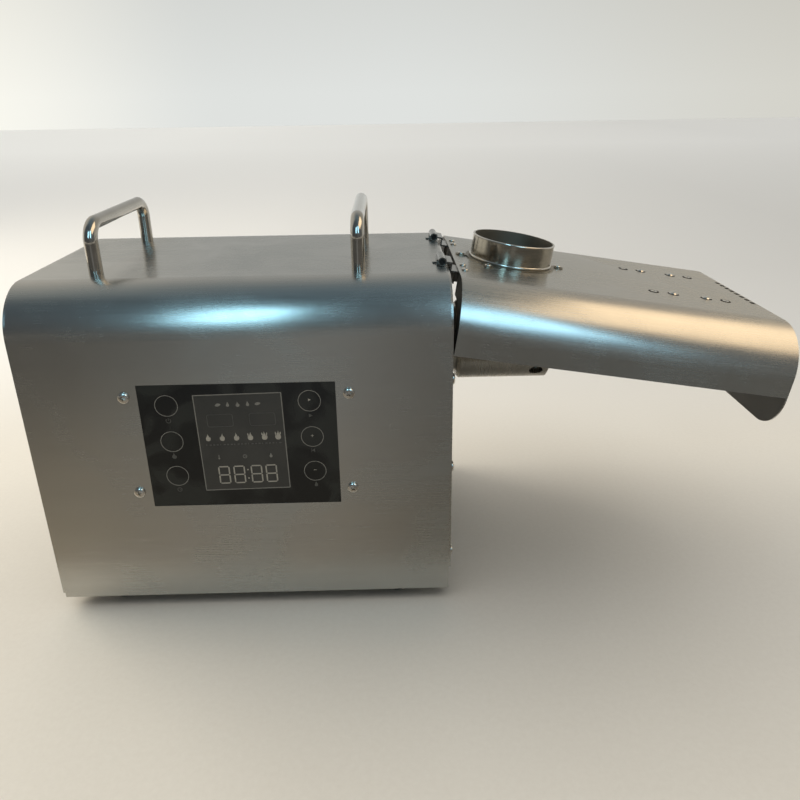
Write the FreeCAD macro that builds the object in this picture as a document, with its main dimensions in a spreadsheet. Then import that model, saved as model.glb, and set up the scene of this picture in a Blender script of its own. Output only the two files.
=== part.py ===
import FreeCAD, Part
import math
import os
import re
import Sketcher
from FreeCAD import Placement, Rotation, Vector

# Screw-type oil press: a folded stainless casing holds motor, gearbox and controls, and a feed housing
# with a slotted press cage stands out of its right end under a hinged hood.
# X runs along the press axis, Y from front to back, Z up. Millimetres and degrees.

SIZES = {
    # Casing
    "case_width": (300.0, "casing length along the press axis"),
    "case_depth": (220.0, "casing front to back"),
    "case_top": (255.0, "top face above the floor"),
    "foot_height": (10.0, "gap under the casing"),
    "sheet": (1.0, "wrap and hood sheet"),
    "bend_radius": (35.0, "outer radius of the long bends"),
    "lip": (14.0, "inward lip at each open end of the wrap"),
    "end_sheet": (1.5, "end panels and base plate"),
    "right_panel_bottom": (30.0, "lower edge of the right end panel"),
    "left_panel_bottom": (14.0, "lower edge of the left end panel"),
    "base_flange": (12.0, "upturned front and back edges of the base plate"),
    "end_flange_lap": (4.0, "how far the base plate's end flanges rise behind the end panels"),
    "stud_radius": (3.0, "board standoff"),
    "stud_rise": (8.0, "board standoff"),
    "sheet_gap": (0.2, "gap between a sheet and what slides into it"),
    # Feet
    "foot_radius": (11.0, "rubber foot at its top"),
    "foot_taper": (1.5, "how much narrower the foot is at the floor"),
    "foot_span": (220.0, "feet apart along X"),
    "foot_inset": (20.0, "foot centre from the front and back faces"),
    # Handles
    "handle_rod": (5.0, "handle rod radius"),
    "handle_height": (40.0, "handle top above the casing"),
    "handle_legs": (120.0, "leg to leg"),
    "handle_bend": (13.0, "centreline radius of the corners"),
    "handle_left": (-102.6, "left handle from the casing's middle"),
    "handle_right": (86.4, "right handle from the casing's middle"),
    "handle_bolt": (2.5, "handle screw radius"),
    # Control panel
    "window_width": (138.4, "cut-out in the front"),
    "window_height": (97.0, "cut-out in the front"),
    "window_middle": (139.1, "cut-out centre above the floor"),
    "window_radius": (1.2, "corner radius of the cut-out"),
    "glass_margin": (15.0, "hidden border of the panel behind the sheet"),
    "glass_plate": (2.5, "panel thickness behind the sheet"),
    "panel_screw_x": (78.5, "panel screws from the middle"),
    "panel_screw_rise": (37.9, "panel screws above and below their middle"),
    "panel_screw_middle": (140.6, "middle of the panel screws above the floor"),
    "display_width": (66.0, "display module"),
    "display_height": (80.0, "display module"),
    "display_depth": (5.0, "display module"),
    "board_sheet": (1.6, "circuit boards"),
    "touch_column": (50.2, "touch springs from the middle"),
    "touch_middle": (145.2, "middle touch spring above the floor"),
    "touch_pitch": (28.0, "touch springs apart"),
    "touch_radius": (4.0, "touch spring"),
    # Press axis, drive and gears
    "axis_height": (180.0, "press axis above the floor"),
    "layshaft_offset": (32.0, "layshaft behind the press axis"),
    "fine_module": (1.5, "first pair of gears"),
    "coarse_module": (2.0, "second pair of gears"),
    "pinion_teeth": (14.0, "teeth on each pinion"),
    "wheel_teeth": (56.0, "teeth on each wheel"),
    "backlash": (0.2, "play between teeth at the pitch line"),
    "fine_face": (10.0, "first wheel width"),
    "coarse_face": (14.0, "output wheel width"),
    "gear_wall": (6.0, "gearbox walls"),
    "gear_room": (44.0, "inside depth of the gearbox"),
    "gear_clear": (4.0, "air round the wheels in the gearbox"),
    "gear_corner": (24.0, "gearbox corner radius"),
    "motor_radius": (46.0, "motor can"),
    "motor_length": (116.0, "motor can with its caps"),
    "motor_cap": (9.0, "motor cap thickness"),
    "motor_shaft": (4.0, "rotor shaft radius"),
    "lay_shaft": (6.0, "layshaft radius"),
    "out_shaft": (10.0, "output shaft radius in its bearings"),
    "drive_shaft": (12.0, "output shaft radius in the nose"),
    "run_gap": (0.05, "radial running clearance"),
    # Nose and press
    "nose_flange": (12.0, "flange thickness inside the casing"),
    "nose_flange_radius": (48.0, "flange radius"),
    "nose_radius": (27.0, "neck between the casing and the feed housing"),
    "nose_reach": (12.5, "neck length outside the casing face"),
    "spigot_radius": (22.0, "spigot inside the feed housing"),
    "spigot_length": (10.0, "spigot inside the feed housing"),
    "shaft_reach": (14.0, "output shaft beyond the casing face"),
    "tang_length": (12.0, "square tail of the press screw"),
    "heater_radius": (3.25, "cartridge heater"),
    "heater_length": (52.0, "cartridge heater"),
    "heater_offset": (36.0, "heaters beside the axis"),
    "housing_radius": (33.0, "feed housing"),
    "housing_length": (77.5, "feed housing"),
    "housing_chamfer": (4.0, "edge of the feed housing"),
    "bore_radius": (17.2, "bore round the press screw"),
    "inlet_radius": (16.0, "seed inlet"),
    "inlet_wall": (5.0, "wall of the seed inlet"),
    "inlet_top": (224.0, "inlet rim above the floor"),
    "inlet_place": (40.5, "inlet centre from the housing's left end"),
    "cage_radius": (20.0, "press cage"),
    "cage_seat": (22.0, "depth of the cage in the housing"),
    "cage_length": (112.0, "press cage"),
    "slot_width": (1.4, "oil slot"),
    "slot_length": (24.0, "oil slot"),
    "slot_count": (12.0, "oil slots round the cage"),
    "slot_rows": (3.0, "rows of oil slots"),
    "slot_gap": (4.0, "wall between rows of oil slots"),
    "lock_radius": (5.5, "hole of the cage lock screw"),
    "lock_angle": (52.0, "lock screw from straight down to the front"),
    "lock_place": (12.5, "lock screw from the housing's right end"),
    "flight_radius": (16.9, "crest of the press screw"),
    "flight_pitch": (22.0, "pitch of the press screw"),
    "flight_crest": (3.2, "crest width"),
    "flight_foot": (6.5, "flight width at the root"),
    "screw_gap": (0.3, "gap between the shaft's end and the press screw"),
    "root_start": (8.5, "root radius at the feed end"),
    "root_end": (14.0, "root radius at the cake end"),
    "nozzle_radius": (23.0, "cake nozzle"),
    "nozzle_length": (26.0, "cake nozzle"),
    "nozzle_lap": (10.0, "nozzle over the cage's end"),
    "tip_taper": (3.0, "how much the screw's tip narrows in the nozzle"),
    "cake_gap": (1.2, "ring gap where the cake leaves"),
    # Hood
    "hood_tilt": (9.0, "hood slope when closed"),
    "hood_drop": (1.4, "hood top below the casing top at the casing face"),
    "hood_start": (9.5, "hood's left edge from the casing face, along the hood"),
    "hood_end": (251.0, "hood's right edge from the casing face, along the hood"),
    "hood_skirt": (48.2, "skirt depth"),
    "flap_drop": (75.5, "end flap below the hood top"),
    "flap_radius": (26.0, "lower corners of the end flap"),
    "fold_dashes": (8.0, "cuts along the fold"),
    "fold_dash": (5.0, "length of each cut"),
    "fold_pitch": (9.0, "cuts apart"),
    "collar_place": (57.0, "collar centre along the hood"),
    "collar_radius": (32.5, "collar outside"),
    "collar_wall": (1.2, "collar wall"),
    "collar_height": (19.0, "collar above the hood"),
    "collar_flange": (36.0, "collar foot flange"),
    "collar_screw": (40.0, "collar screws from the collar's axis"),
    "stiffener_place": (193.7, "stiffener middle along the hood"),
    "stiffener_length": (72.0, "stiffener along the hood"),
    "rivet_row": (38.0, "rivet rows from the middle"),
    "rivet_inner": (13.3, "domed rivets from the stiffener's middle"),
    "rivet_outer": (29.0, "flush rivets from the stiffener's middle"),
    # Hinges
    "hinge_offset": (47.5, "hinges from the middle"),
    "hinge_inset": (2.6, "pin inside the casing face"),
    "hinge_rise": (3.6, "pin above the casing top"),
    "knuckle_radius": (3.2, "hinge knuckle"),
    "pin_radius": (1.5, "hinge pin"),
    "knuckle_width": (12.0, "fixed knuckle"),
    "ear_width": (4.5, "each moving knuckle"),
    "hinge_play": (0.3, "side play between knuckles"),
    "leaf": (1.2, "hinge leaf thickness"),
    "hinge_slot": (4.0, "slot in the casing top for a hinge's fixed leaf"),
    "hinge_screw": (8.0, "hinge screws from the hinge's middle"),
    # Electrics
    "fan_size": (80.0, "cooling fan"),
    "fan_depth": (25.0, "cooling fan"),
    "fan_height": (165.0, "fan centre above the floor"),
    "vent_pitch": (7.0, "vent slots apart"),
    "vent_slot": (3.0, "vent slot width"),
    "inlet_flange": (2.5, "power inlet's flange"),
    "inlet_y": (60.0, "power inlet behind the middle"),
    "inlet_z": (50.0, "power inlet above the floor"),
    "switch_y": (-5.0, "rocker switch from the middle"),
    "switch_window": (13.0, "rocker window width"),
    "switch_rise": (22.0, "rocker window height"),
    # Fasteners
    "screw_head": (4.0, "M4 head radius"),
    "screw_rise": (2.2, "M4 head height"),
    "screw_shank": (2.0, "M4 shank radius"),
    "small_head": (2.6, "M3 head radius"),
    "small_rise": (1.6, "M3 head height"),
    "small_shank": (1.5, "M3 shank radius"),
    "hole_play": (0.2, "clearance of a screw in its hole"),
}

# Places worked out from the sizes, in the order in which they depend on each other.
PLACES = {
    "case_middle": "-(hood_end * cos(hood_tilt) - end_sheet - inlet_flange - small_rise) / 2",
    "left_face": "case_middle - case_width / 2",
    "right_face": "case_middle + case_width / 2",
    "half_depth": "case_depth / 2",
    "inner_front": "-half_depth + sheet",
    "glass_back": "inner_front + glass_plate",
    "display_back": "glass_back + display_depth",
    "board_back": "display_back + board_sheet",
    "lay_height": "axis_height - sqrt(coarse_centres ^ 2 - layshaft_offset ^ 2)",
    "coarse_centres": "coarse_module * (pinion_teeth + wheel_teeth) / 2",
    "fine_centres": "fine_module * (pinion_teeth + wheel_teeth) / 2",
    "motor_height": "lay_height - sqrt(fine_centres ^ 2 - layshaft_offset ^ 2)",
    "out_tip": "coarse_module * (wheel_teeth / 2 + 1)",
    "lay_tip": "fine_module * (wheel_teeth / 2 + 1)",
    "gear_front": "right_face - nose_flange",
    "gear_room_front": "gear_front - gear_wall",
    "gear_room_back": "gear_room_front - gear_room",
    "gear_back": "gear_room_back - gear_wall",
    "gear_low": "motor_height - 20",
    "gear_high": "axis_height + out_tip + gear_clear + gear_wall",
    "gear_near": "-(out_tip + gear_clear + gear_wall)",
    "gear_far": "layshaft_offset + lay_tip + gear_clear + gear_wall",
    "neck_end": "right_face + nose_reach",
    "housing_end": "neck_end + housing_length",
    "cage_start": "housing_end - cage_seat",
    "cage_end": "cage_start + cage_length",
    "inlet_x": "neck_end + inlet_place",
    "hood_height": "case_top - hood_drop",
    "pin_x": "right_face - hinge_inset",
    "pin_z": "case_top + hinge_rise",
    "pin_u": "-hinge_inset * cos(hood_tilt) - (hinge_rise + hood_drop) * sin(hood_tilt)",
    "pin_w": "-hinge_inset * sin(hood_tilt) + (hinge_rise + hood_drop) * cos(hood_tilt)",
    "floor_top": "foot_height + end_sheet",
    "board_left": "left_face + 34",
    "fan_hole": "fan_size / 2 - 4.25",
    "switch_x": "left_face - end_sheet + 4.6",
    "tab_left": "pin_x - knuckle_radius - leaf + 0.6",
}

FRONT = Vector(0, -1, 0)
BACK = Vector(0, 1, 0)
LEFT = Vector(-1, 0, 0)
RIGHT = Vector(1, 0, 0)
UP = Vector(0, 0, 1)
DOWN = Vector(0, 0, -1)

doc = FreeCAD.newDocument("oil_press")
sheet = doc.addObject("Spreadsheet::Sheet", "Sizes")
for row, (alias, (amount, note)) in enumerate(SIZES.items(), start=1):
    sheet.set(f"A{row}", alias)
    sheet.set(f"B{row}", str(amount))
    sheet.setAlias(f"B{row}", alias)
    sheet.set(f"C{row}", note)
doc.recompute()
places = doc.addObject("App::VarSet", "Places")
for alias in PLACES:
    places.addProperty("App::PropertyFloat", alias)


def linked(text):
    """Put each size's and each place's owner before its name in an expression."""

    def owner(match):
        word = match.group()
        if word in SIZES:
            return "Sizes." + word
        if word in PLACES:
            return "Places." + word
        return word

    return re.sub(r"[a-z][a-z_]*", owner, str(text))


for alias, text in PLACES.items():
    places.setExpression(alias, linked(text))
doc.recompute()


def size(alias):
    """The number behind a size or a place."""
    return float(getattr(sheet, alias)) if alias in SIZES else float(getattr(places, alias))


parts = []
cuts = []
adds = []


def done(obj, label):
    """Name a finished sub-part."""
    obj.Label = label
    parts.append(obj)
    return obj


def put(obj, spot, turn=Rotation()):
    """Bind an object's place to three expressions, with a fixed direction."""
    obj.Placement = Placement(Vector(), turn)
    for letter, text in zip("xyz", spot):
        obj.setExpression("Placement.Base." + letter, linked(text))
    return obj


def on_hood(obj):
    """Seat an object, built in the hood's own frame, on the closed hood."""
    put(obj, ("right_face", "0", "hood_height"), Rotation(Vector(0, 1, 0), size("hood_tilt")))
    obj.setExpression("Placement.Rotation.Angle", linked("hood_tilt"))
    return obj


def block(spot, extent):
    """A box from its low corner and its three lengths."""
    obj = doc.addObject("Part::Box", "Block")
    for prop, text in zip(("Length", "Width", "Height"), extent):
        obj.setExpression(prop, linked(text))
    return put(obj, spot)


def rod(spot, radius, length, towards):
    """A cylinder from the middle of its first face."""
    obj = doc.addObject("Part::Cylinder", "Rod")
    obj.setExpression("Radius", linked(radius))
    obj.setExpression("Height", linked(length))
    return put(obj, spot, Rotation(UP, towards))


def cone(spot, radius, tip_radius, length, towards):
    """A cone from the middle of its first face."""
    obj = doc.addObject("Part::Cone", "Cone")
    obj.setExpression("Radius1", linked(radius))
    obj.setExpression("Radius2", linked(tip_radius))
    obj.setExpression("Height", linked(length))
    return put(obj, spot, Rotation(UP, towards))


def fuse(pieces):
    """One solid from several."""
    obj = doc.addObject("Part::MultiFuse", "Fused")
    obj.Shapes = pieces
    adds.append(obj)
    return obj


def cut(base, tools):
    """A solid less one or more others."""
    tool = tools[0]
    if len(tools) > 1:
        tool = doc.addObject("Part::Compound", "Tools")
        tool.Links = tools
    obj = doc.addObject("Part::Cut", "Cut")
    obj.Base = base
    obj.Tool = tool
    cuts.append((obj, base))
    return obj


def group(pieces):
    """Separate solids kept together."""
    obj = doc.addObject("Part::Compound", "Group")
    obj.Links = pieces
    return obj


def body(label=None):
    """An empty PartDesign body, a sub-part where it has a label."""
    obj = doc.addObject("PartDesign::Body", "Body")
    if label:
        done(obj, label)
    return obj


def sketch(owner, role, offset="0"):
    """A sketch on one of its body's own planes, moved along the plane's normal."""
    obj = owner.newObject("Sketcher::SketchObject", "Sketch")
    plane = next(item for item in owner.Origin.OriginFeatures if item.Role == role)
    obj.AttachmentSupport = [(plane, "")]
    obj.MapMode = "FlatFace"
    obj.setExpression("AttachmentOffset.Base.z", linked(offset))
    return obj


def bind(owner, kind, element, text, start):
    """A dimension whose value is an expression."""
    index = owner.addConstraint(Sketcher.Constraint(kind, *element, start))
    owner.setExpression(f"Constraints[{index}]", linked(text))


def outline(owner, corners):
    """A closed polygon with both coordinates of each corner bound."""
    count = len(corners)
    first = owner.GeometryCount
    spots = [Vector(50 * math.cos(2 * math.pi * i / count), 50 * math.sin(2 * math.pi * i / count), 0)
             for i in range(count)]
    for i in range(count):
        owner.addGeometry(Part.LineSegment(spots[i], spots[(i + 1) % count]), False)
    for i in range(count):
        owner.addConstraint(Sketcher.Constraint("Coincident", first + i, 2, first + (i + 1) % count, 1))
    for i, (across, up) in enumerate(corners):
        bind(owner, "DistanceX", (first + i, 1), across, spots[i].x)
        bind(owner, "DistanceY", (first + i, 1), up, spots[i].y)


def rectangle(owner, left, right, low, high):
    """A rectangle by its four sides."""
    outline(owner, [(left, low), (right, low), (right, high), (left, high)])


def circle(owner, across, up, radius):
    """A circle with its centre and radius bound."""
    index = owner.addGeometry(Part.Circle(Vector(1, 1, 0), Vector(0, 0, 1), 1), False)
    bind(owner, "DistanceX", (index, 3), across, 1)
    bind(owner, "DistanceY", (index, 3), up, 1)
    bind(owner, "Radius", (index,), radius, 1)


def pad(owner, profile, length, backwards=False):
    """Add a sketch's area over a length."""
    obj = owner.newObject("PartDesign::Pad", "Pad")
    obj.Profile = profile
    obj.setExpression("Length", linked(length))
    obj.Reversed = backwards
    return obj


def pocket(owner, profile, length, backwards=False):
    """Take a sketch's area away over a length, against the sketch's normal."""
    base = owner.Tip
    obj = owner.newObject("PartDesign::Pocket", "Pocket")
    obj.Profile = profile
    obj.setExpression("Length", linked(length))
    obj.Reversed = backwards
    cuts.append((obj, base))
    return obj


def rounded(owner, radius, wanted):
    """Fillet the edges of a body's tip whose middle passes a test."""
    doc.recompute()
    base = owner.Tip
    names = [f"Edge{i}" for i, edge in enumerate(base.Shape.Edges, start=1) if wanted(edge)]
    obj = owner.newObject("PartDesign::Fillet", "Fillet")
    obj.Base = (base, names)
    obj.setExpression("Radius", linked(radius))
    return obj


def hollowed(owner, wall, open_face):
    """Turn a body's tip into a shell, open at the faces that pass a test."""
    doc.recompute()
    base = owner.Tip
    names = [f"Face{i}" for i, face in enumerate(base.Shape.Faces, start=1) if open_face(face)]
    obj = owner.newObject("PartDesign::Thickness", "Shell")
    obj.Base = (base, names)
    obj.Reversed = True
    obj.setExpression("Value", linked(wall))
    return obj


def near(first, second):
    """Whether two lengths are the same."""
    return abs(first - second) < 0.01


def runs_along(edge, direction):
    """Whether a straight edge is parallel to a direction."""
    span = edge.lastVertex().Point - edge.firstVertex().Point
    return span.Length > 0.01 and near(abs(span.dot(direction)), span.Length)


def turned(label, profile, spot, towards=RIGHT):
    """A turned piece: a polygon of (along, radius) corners, revolved about its own X axis."""
    obj = body(label)
    shape = sketch(obj, "XY_Plane")
    outline(shape, profile)
    turn = obj.newObject("PartDesign::Revolution", "Revolution")
    turn.Profile = shape
    turn.ReferenceAxis = (shape, ["H_Axis"])
    turn.Angle = 360
    put(obj, spot, Rotation(RIGHT, towards))
    return obj


def screw(spot, towards, head, rise, shank, reach):
    """A screw: a tapered head standing along a direction, and a shank behind it."""
    top = cone(spot, head, f"0.7 * {head}", rise, towards)
    stem = rod(spot, shank, reach, towards * -1)
    return fuse([top, stem])


def casing_wrap():
    """Front, top and back folded from one sheet, with a lip round each open end."""
    obj = body("casing_wrap")
    section = sketch(obj, "YZ_Plane", "left_face")
    rectangle(section, "-half_depth", "half_depth", "foot_height", "case_top")
    pad(obj, section, "case_width")
    top, depth = size("case_top"), size("half_depth")

    def top_edge(edge):
        middle = edge.CenterOfMass
        return runs_along(edge, RIGHT) and near(middle.z, top) and near(abs(middle.y), depth)

    rounded(obj, "bend_radius", top_edge)
    low = size("foot_height")
    hollowed(obj, "sheet", lambda face: near(face.CenterOfMass.z, low))
    openings = sketch(obj, "YZ_Plane", "right_face + 1")
    edge = "half_depth - lip"
    shoulder = "bend_radius - lip"
    outline(openings, [
        (f"-({edge})", "foot_height - 1"), (edge, "foot_height - 1"),
        (edge, f"case_top - lip - 0.6 * ({shoulder})"), (f"{edge} - 0.6 * ({shoulder})", "case_top - lip"),
        (f"-({edge} - 0.6 * ({shoulder}))", "case_top - lip"), (f"-({edge})", f"case_top - lip - 0.6 * ({shoulder})"),
    ])
    pocket(obj, openings, "case_width + 2")
    window = sketch(obj, "XZ_Plane", "half_depth + 1")
    half_width = "window_width / 2"
    half_height = "window_height / 2"
    rectangle(window, f"case_middle - {half_width}", f"case_middle + {half_width}",
              f"window_middle - {half_height}", f"window_middle + {half_height}")
    pocket(obj, window, "sheet + 2")
    holes = sketch(obj, "XZ_Plane", "half_depth + 1")
    for across, up in panel_screw_spots():
        circle(holes, across, up, "screw_shank + hole_play")
    pocket(obj, holes, "sheet + 2")
    top_holes = sketch(obj, "XY_Plane", "case_top + 1")
    for across in ("handle_left", "handle_right"):
        for side in ("-", ""):
            circle(top_holes, f"case_middle + {across}", f"{side}handle_legs / 2", "handle_bolt + hole_play")
    pocket(obj, top_holes, "sheet + 2")
    slots = sketch(obj, "XY_Plane", "case_top + 1")
    for side in (-1, 1):
        rectangle(slots, "tab_left + leaf + hole_play - hinge_slot", "tab_left + leaf + hole_play",
                  f"{side} * hinge_offset - knuckle_width / 2 - hole_play",
                  f"{side} * hinge_offset + knuckle_width / 2 + hole_play")
    pocket(obj, slots, "sheet + 2")
    for face, spots in (("right_face", right_screw_spots()), ("left_face", left_screw_spots())):
        lip_holes = sketch(obj, "YZ_Plane", f"{face} + 3")
        for across, up in spots:
            circle(lip_holes, across, up, "screw_shank + hole_play")
        pocket(obj, lip_holes, "6")


def panel_screw_spots():
    """Centres of the control panel's screws on the front."""
    return [(f"case_middle + {side} * panel_screw_x", f"panel_screw_middle + {rise} * panel_screw_rise")
            for side in (-1, 1) for rise in (-1, 1)]


def right_screw_spots():
    """Centres of the right end panel's screws."""
    return [(f"{side} * (half_depth - lip / 2)", up) for side in (-1, 1) for up in ("45", "115", "185")]


def left_screw_spots():
    """Centres of the left end panel's screws."""
    return [(f"{side} * (half_depth - lip / 2)", up) for side in (-1, 1) for up in ("30", "115", "200")]


def end_panel(label, start, low, spots):
    """An end panel cut to the casing's section, still without its own openings."""
    obj = body(label)
    section = sketch(obj, "YZ_Plane", start)
    rectangle(section, "-half_depth", "half_depth", low, "case_top")
    pad(obj, section, "end_sheet")
    top, depth = size("case_top"), size("half_depth")

    def top_corner(edge):
        middle = edge.CenterOfMass
        return runs_along(edge, RIGHT) and near(middle.z, top) and near(abs(middle.y), depth)

    rounded(obj, "bend_radius", top_corner)
    holes = sketch(obj, "YZ_Plane", f"{start} + 2 * end_sheet")
    for across, up in spots:
        circle(holes, across, up, "screw_shank + hole_play")
    pocket(obj, holes, "3 * end_sheet")
    return obj


def right_end_panel():
    """Right end: a hole for the press's neck."""
    obj = end_panel("right_end_panel", "right_face", "right_panel_bottom", right_screw_spots())
    hole = sketch(obj, "YZ_Plane", "right_face + 2 * end_sheet")
    circle(hole, "0", "axis_height", "nose_radius + 2 * hole_play")
    pocket(obj, hole, "3 * end_sheet")


def left_end_panel():
    """Left end: vent slots inside a circle before the fan, and cut-outs for inlet and switch."""
    obj = end_panel("left_end_panel", "left_face - end_sheet", "left_panel_bottom", left_screw_spots())
    vents = sketch(obj, "YZ_Plane", "left_face + end_sheet")
    for step in range(-4, 5):
        half = f"sqrt((fan_size / 2 - 4) ^ 2 - ({step} * vent_pitch) ^ 2)"
        rectangle(vents, f"-{half}", half, f"fan_height + {step} * vent_pitch - vent_slot / 2",
                  f"fan_height + {step} * vent_pitch + vent_slot / 2")
    pocket(obj, vents, "3 * end_sheet")
    windows = sketch(obj, "YZ_Plane", "left_face + end_sheet")
    rectangle(windows, "inlet_y - 14", "inlet_y + 14", "inlet_z - 10.5", "inlet_z + 10.5")
    rectangle(windows, "switch_y - switch_window / 2 - 1.5", "switch_y + switch_window / 2 + 1.5",
              "inlet_z - switch_rise / 2 - 1.5", "inlet_z + switch_rise / 2 + 1.5")
    pocket(obj, windows, "3 * end_sheet")
    holes = sketch(obj, "YZ_Plane", "left_face + end_sheet")
    for side in (-1, 1):
        circle(holes, f"inlet_y + {side} * 20", "inlet_z", "small_shank + hole_play")
        for rise in (-1, 1):
            circle(holes, f"{side} * fan_hole", f"fan_height + {rise} * fan_hole", "small_shank + hole_play")
    pocket(obj, holes, "3 * end_sheet")


def base_plate():
    """A tray that closes the casing from below, its edges turned up, with pressed-in board standoffs."""
    obj = body("base_plate")
    inner = "half_depth - sheet - sheet_gap"
    section = sketch(obj, "YZ_Plane", "left_face + sheet + sheet_gap")
    high = "foot_height + base_flange"
    outline(section, [
        (f"-({inner})", "foot_height"), (inner, "foot_height"), (inner, high), (f"{inner} - end_sheet", high),
        (f"{inner} - end_sheet", "floor_top"), (f"-({inner} - end_sheet)", "floor_top"),
        (f"-({inner} - end_sheet)", high), (f"-({inner})", high),
    ])
    pad(obj, section, "case_width - 2 * (sheet + sheet_gap)")
    for start, top in (("left_face + sheet + sheet_gap", "left_panel_bottom + end_flange_lap"),
                       ("right_face - sheet - sheet_gap - end_sheet", "right_panel_bottom + end_flange_lap")):
        flange = sketch(obj, "YZ_Plane", start)
        rectangle(flange, f"-({inner})", inner, "foot_height", top)
        pad(obj, flange, "end_sheet")
    studs = sketch(obj, "XY_Plane", "floor_top")
    for along in (5, 65):
        for across in (-55, 55):
            circle(studs, f"board_left + {along}", across, "stud_radius")
    pad(obj, studs, "stud_rise")
    holes = sketch(obj, "XY_Plane", "floor_top + 1")
    for across, up in foot_spots():
        circle(holes, across, up, "screw_shank + hole_play")
    for step in range(6):
        for side in (-1, 1):
            rectangle(holes, f"case_middle - 60 + {step} * vent_pitch", f"case_middle - 60 + {step} * vent_pitch + vent_slot",
                      f"{side} * 78 - 14", f"{side} * 78 + 14")
    pocket(obj, holes, "end_sheet + 2")


def foot_spots():
    """Centres of the feet."""
    return [(f"case_middle + {side} * foot_span / 2", f"{back} * (half_depth - foot_inset)")
            for side in (-1, 1) for back in (-1, 1)]


def feet():
    """Four tapered rubber feet with a recess for their screws."""
    recess = "screw_head + 1"
    for (across, up), label in zip(foot_spots(), ("left_front", "left_back", "right_front", "right_back")):
        turned(f"foot_{label}", [
            ("0", recess), ("0", "foot_radius - foot_taper - 1"), ("1", "foot_radius - foot_taper"),
            ("foot_height", "foot_radius"), ("foot_height", "screw_shank + hole_play"),
            ("foot_height / 2", "screw_shank + hole_play"), ("foot_height / 2", recess),
        ], (across, up, "0"), UP)
    reach = "foot_height / 2 + end_sheet + 5"
    screws = []
    for across, up in foot_spots():
        head = rod((across, up, "foot_height / 2 - screw_rise"), "screw_head", "screw_rise", UP)
        stem = rod((across, up, "foot_height / 2"), "screw_shank", reach, UP)
        nut = rod((across, up, "floor_top"), "screw_head", "3.2", UP)
        screws.append(fuse([head, stem, nut]))
    done(group(screws), "foot_screws")


def handle(label, across):
    """A bent rod handle, swept along a U path that stands on the casing's top."""
    obj = body(label)
    path = sketch(obj, "YZ_Plane", f"case_middle + {across}")
    leg = size("handle_legs") / 2
    low, high = size("case_top"), size("case_top") + size("handle_height") - size("handle_rod")
    bend = size("handle_bend")
    lines = [((-leg, low), (-leg, high - bend)), ((-leg + bend, high), (leg - bend, high)), ((leg, high - bend), (leg, low))]
    for start, end in lines:
        path.addGeometry(Part.LineSegment(Vector(*start, 0), Vector(*end, 0)), False)
    for centre, start, end in (((-leg + bend, high - bend), math.pi / 2, math.pi), ((leg - bend, high - bend), 0, math.pi / 2)):
        ring = Part.Circle(Vector(*centre, 0), Vector(0, 0, 1), bend)
        path.addGeometry(Part.ArcOfCircle(ring, start, end), False)
    for joint in ((0, 2, 3, 2), (3, 1, 1, 1), (1, 2, 4, 2), (4, 1, 2, 1)):
        path.addConstraint(Sketcher.Constraint("Tangent", *joint))
    path.addConstraint(Sketcher.Constraint("Equal", 3, 4))
    path.addConstraint(Sketcher.Constraint("Vertical", 0))
    path.addConstraint(Sketcher.Constraint("Vertical", 2))
    bind(path, "Radius", (3,), "handle_bend", bend)
    bind(path, "DistanceX", (0, 1), "-handle_legs / 2", -leg)
    bind(path, "DistanceX", (2, 2), "handle_legs / 2", leg)
    bind(path, "DistanceY", (0, 1), "case_top", low)
    bind(path, "DistanceY", (2, 2), "case_top", low)
    bind(path, "DistanceY", (1, 1), "case_top + handle_height - handle_rod", high)
    profile = sketch(obj, "XY_Plane", "case_top")
    circle(profile, f"case_middle + {across}", "-handle_legs / 2", "handle_rod")
    sweep = obj.newObject("PartDesign::AdditivePipe", "Rod")
    sweep.Profile = profile
    sweep.Spine = (path, [f"Edge{i}" for i in range(1, 6)])
    doc.recompute()
    taps = sketch(obj, "XY_Plane", "case_top")
    for side in ("-", ""):
        circle(taps, f"case_middle + {across}", f"{side}handle_legs / 2", "handle_bolt")
    pocket(obj, taps, "12", backwards=True)


def handles():
    """Both handles and the screws that hold them from inside the casing."""
    handle("handle_left", "handle_left")
    handle("handle_right", "handle_right")
    screws = []
    for across in ("handle_left", "handle_right"):
        for side in ("-", ""):
            spot = (f"case_middle + {across}", f"{side}handle_legs / 2")
            head = rod((*spot, "case_top - sheet - 3"), "2 * handle_bolt", "3", UP)
            stem = rod((*spot, "case_top - sheet"), "handle_bolt", "sheet + 10", UP)
            screws.append(fuse([head, stem]))
    done(group(screws), "handle_screws")


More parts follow.
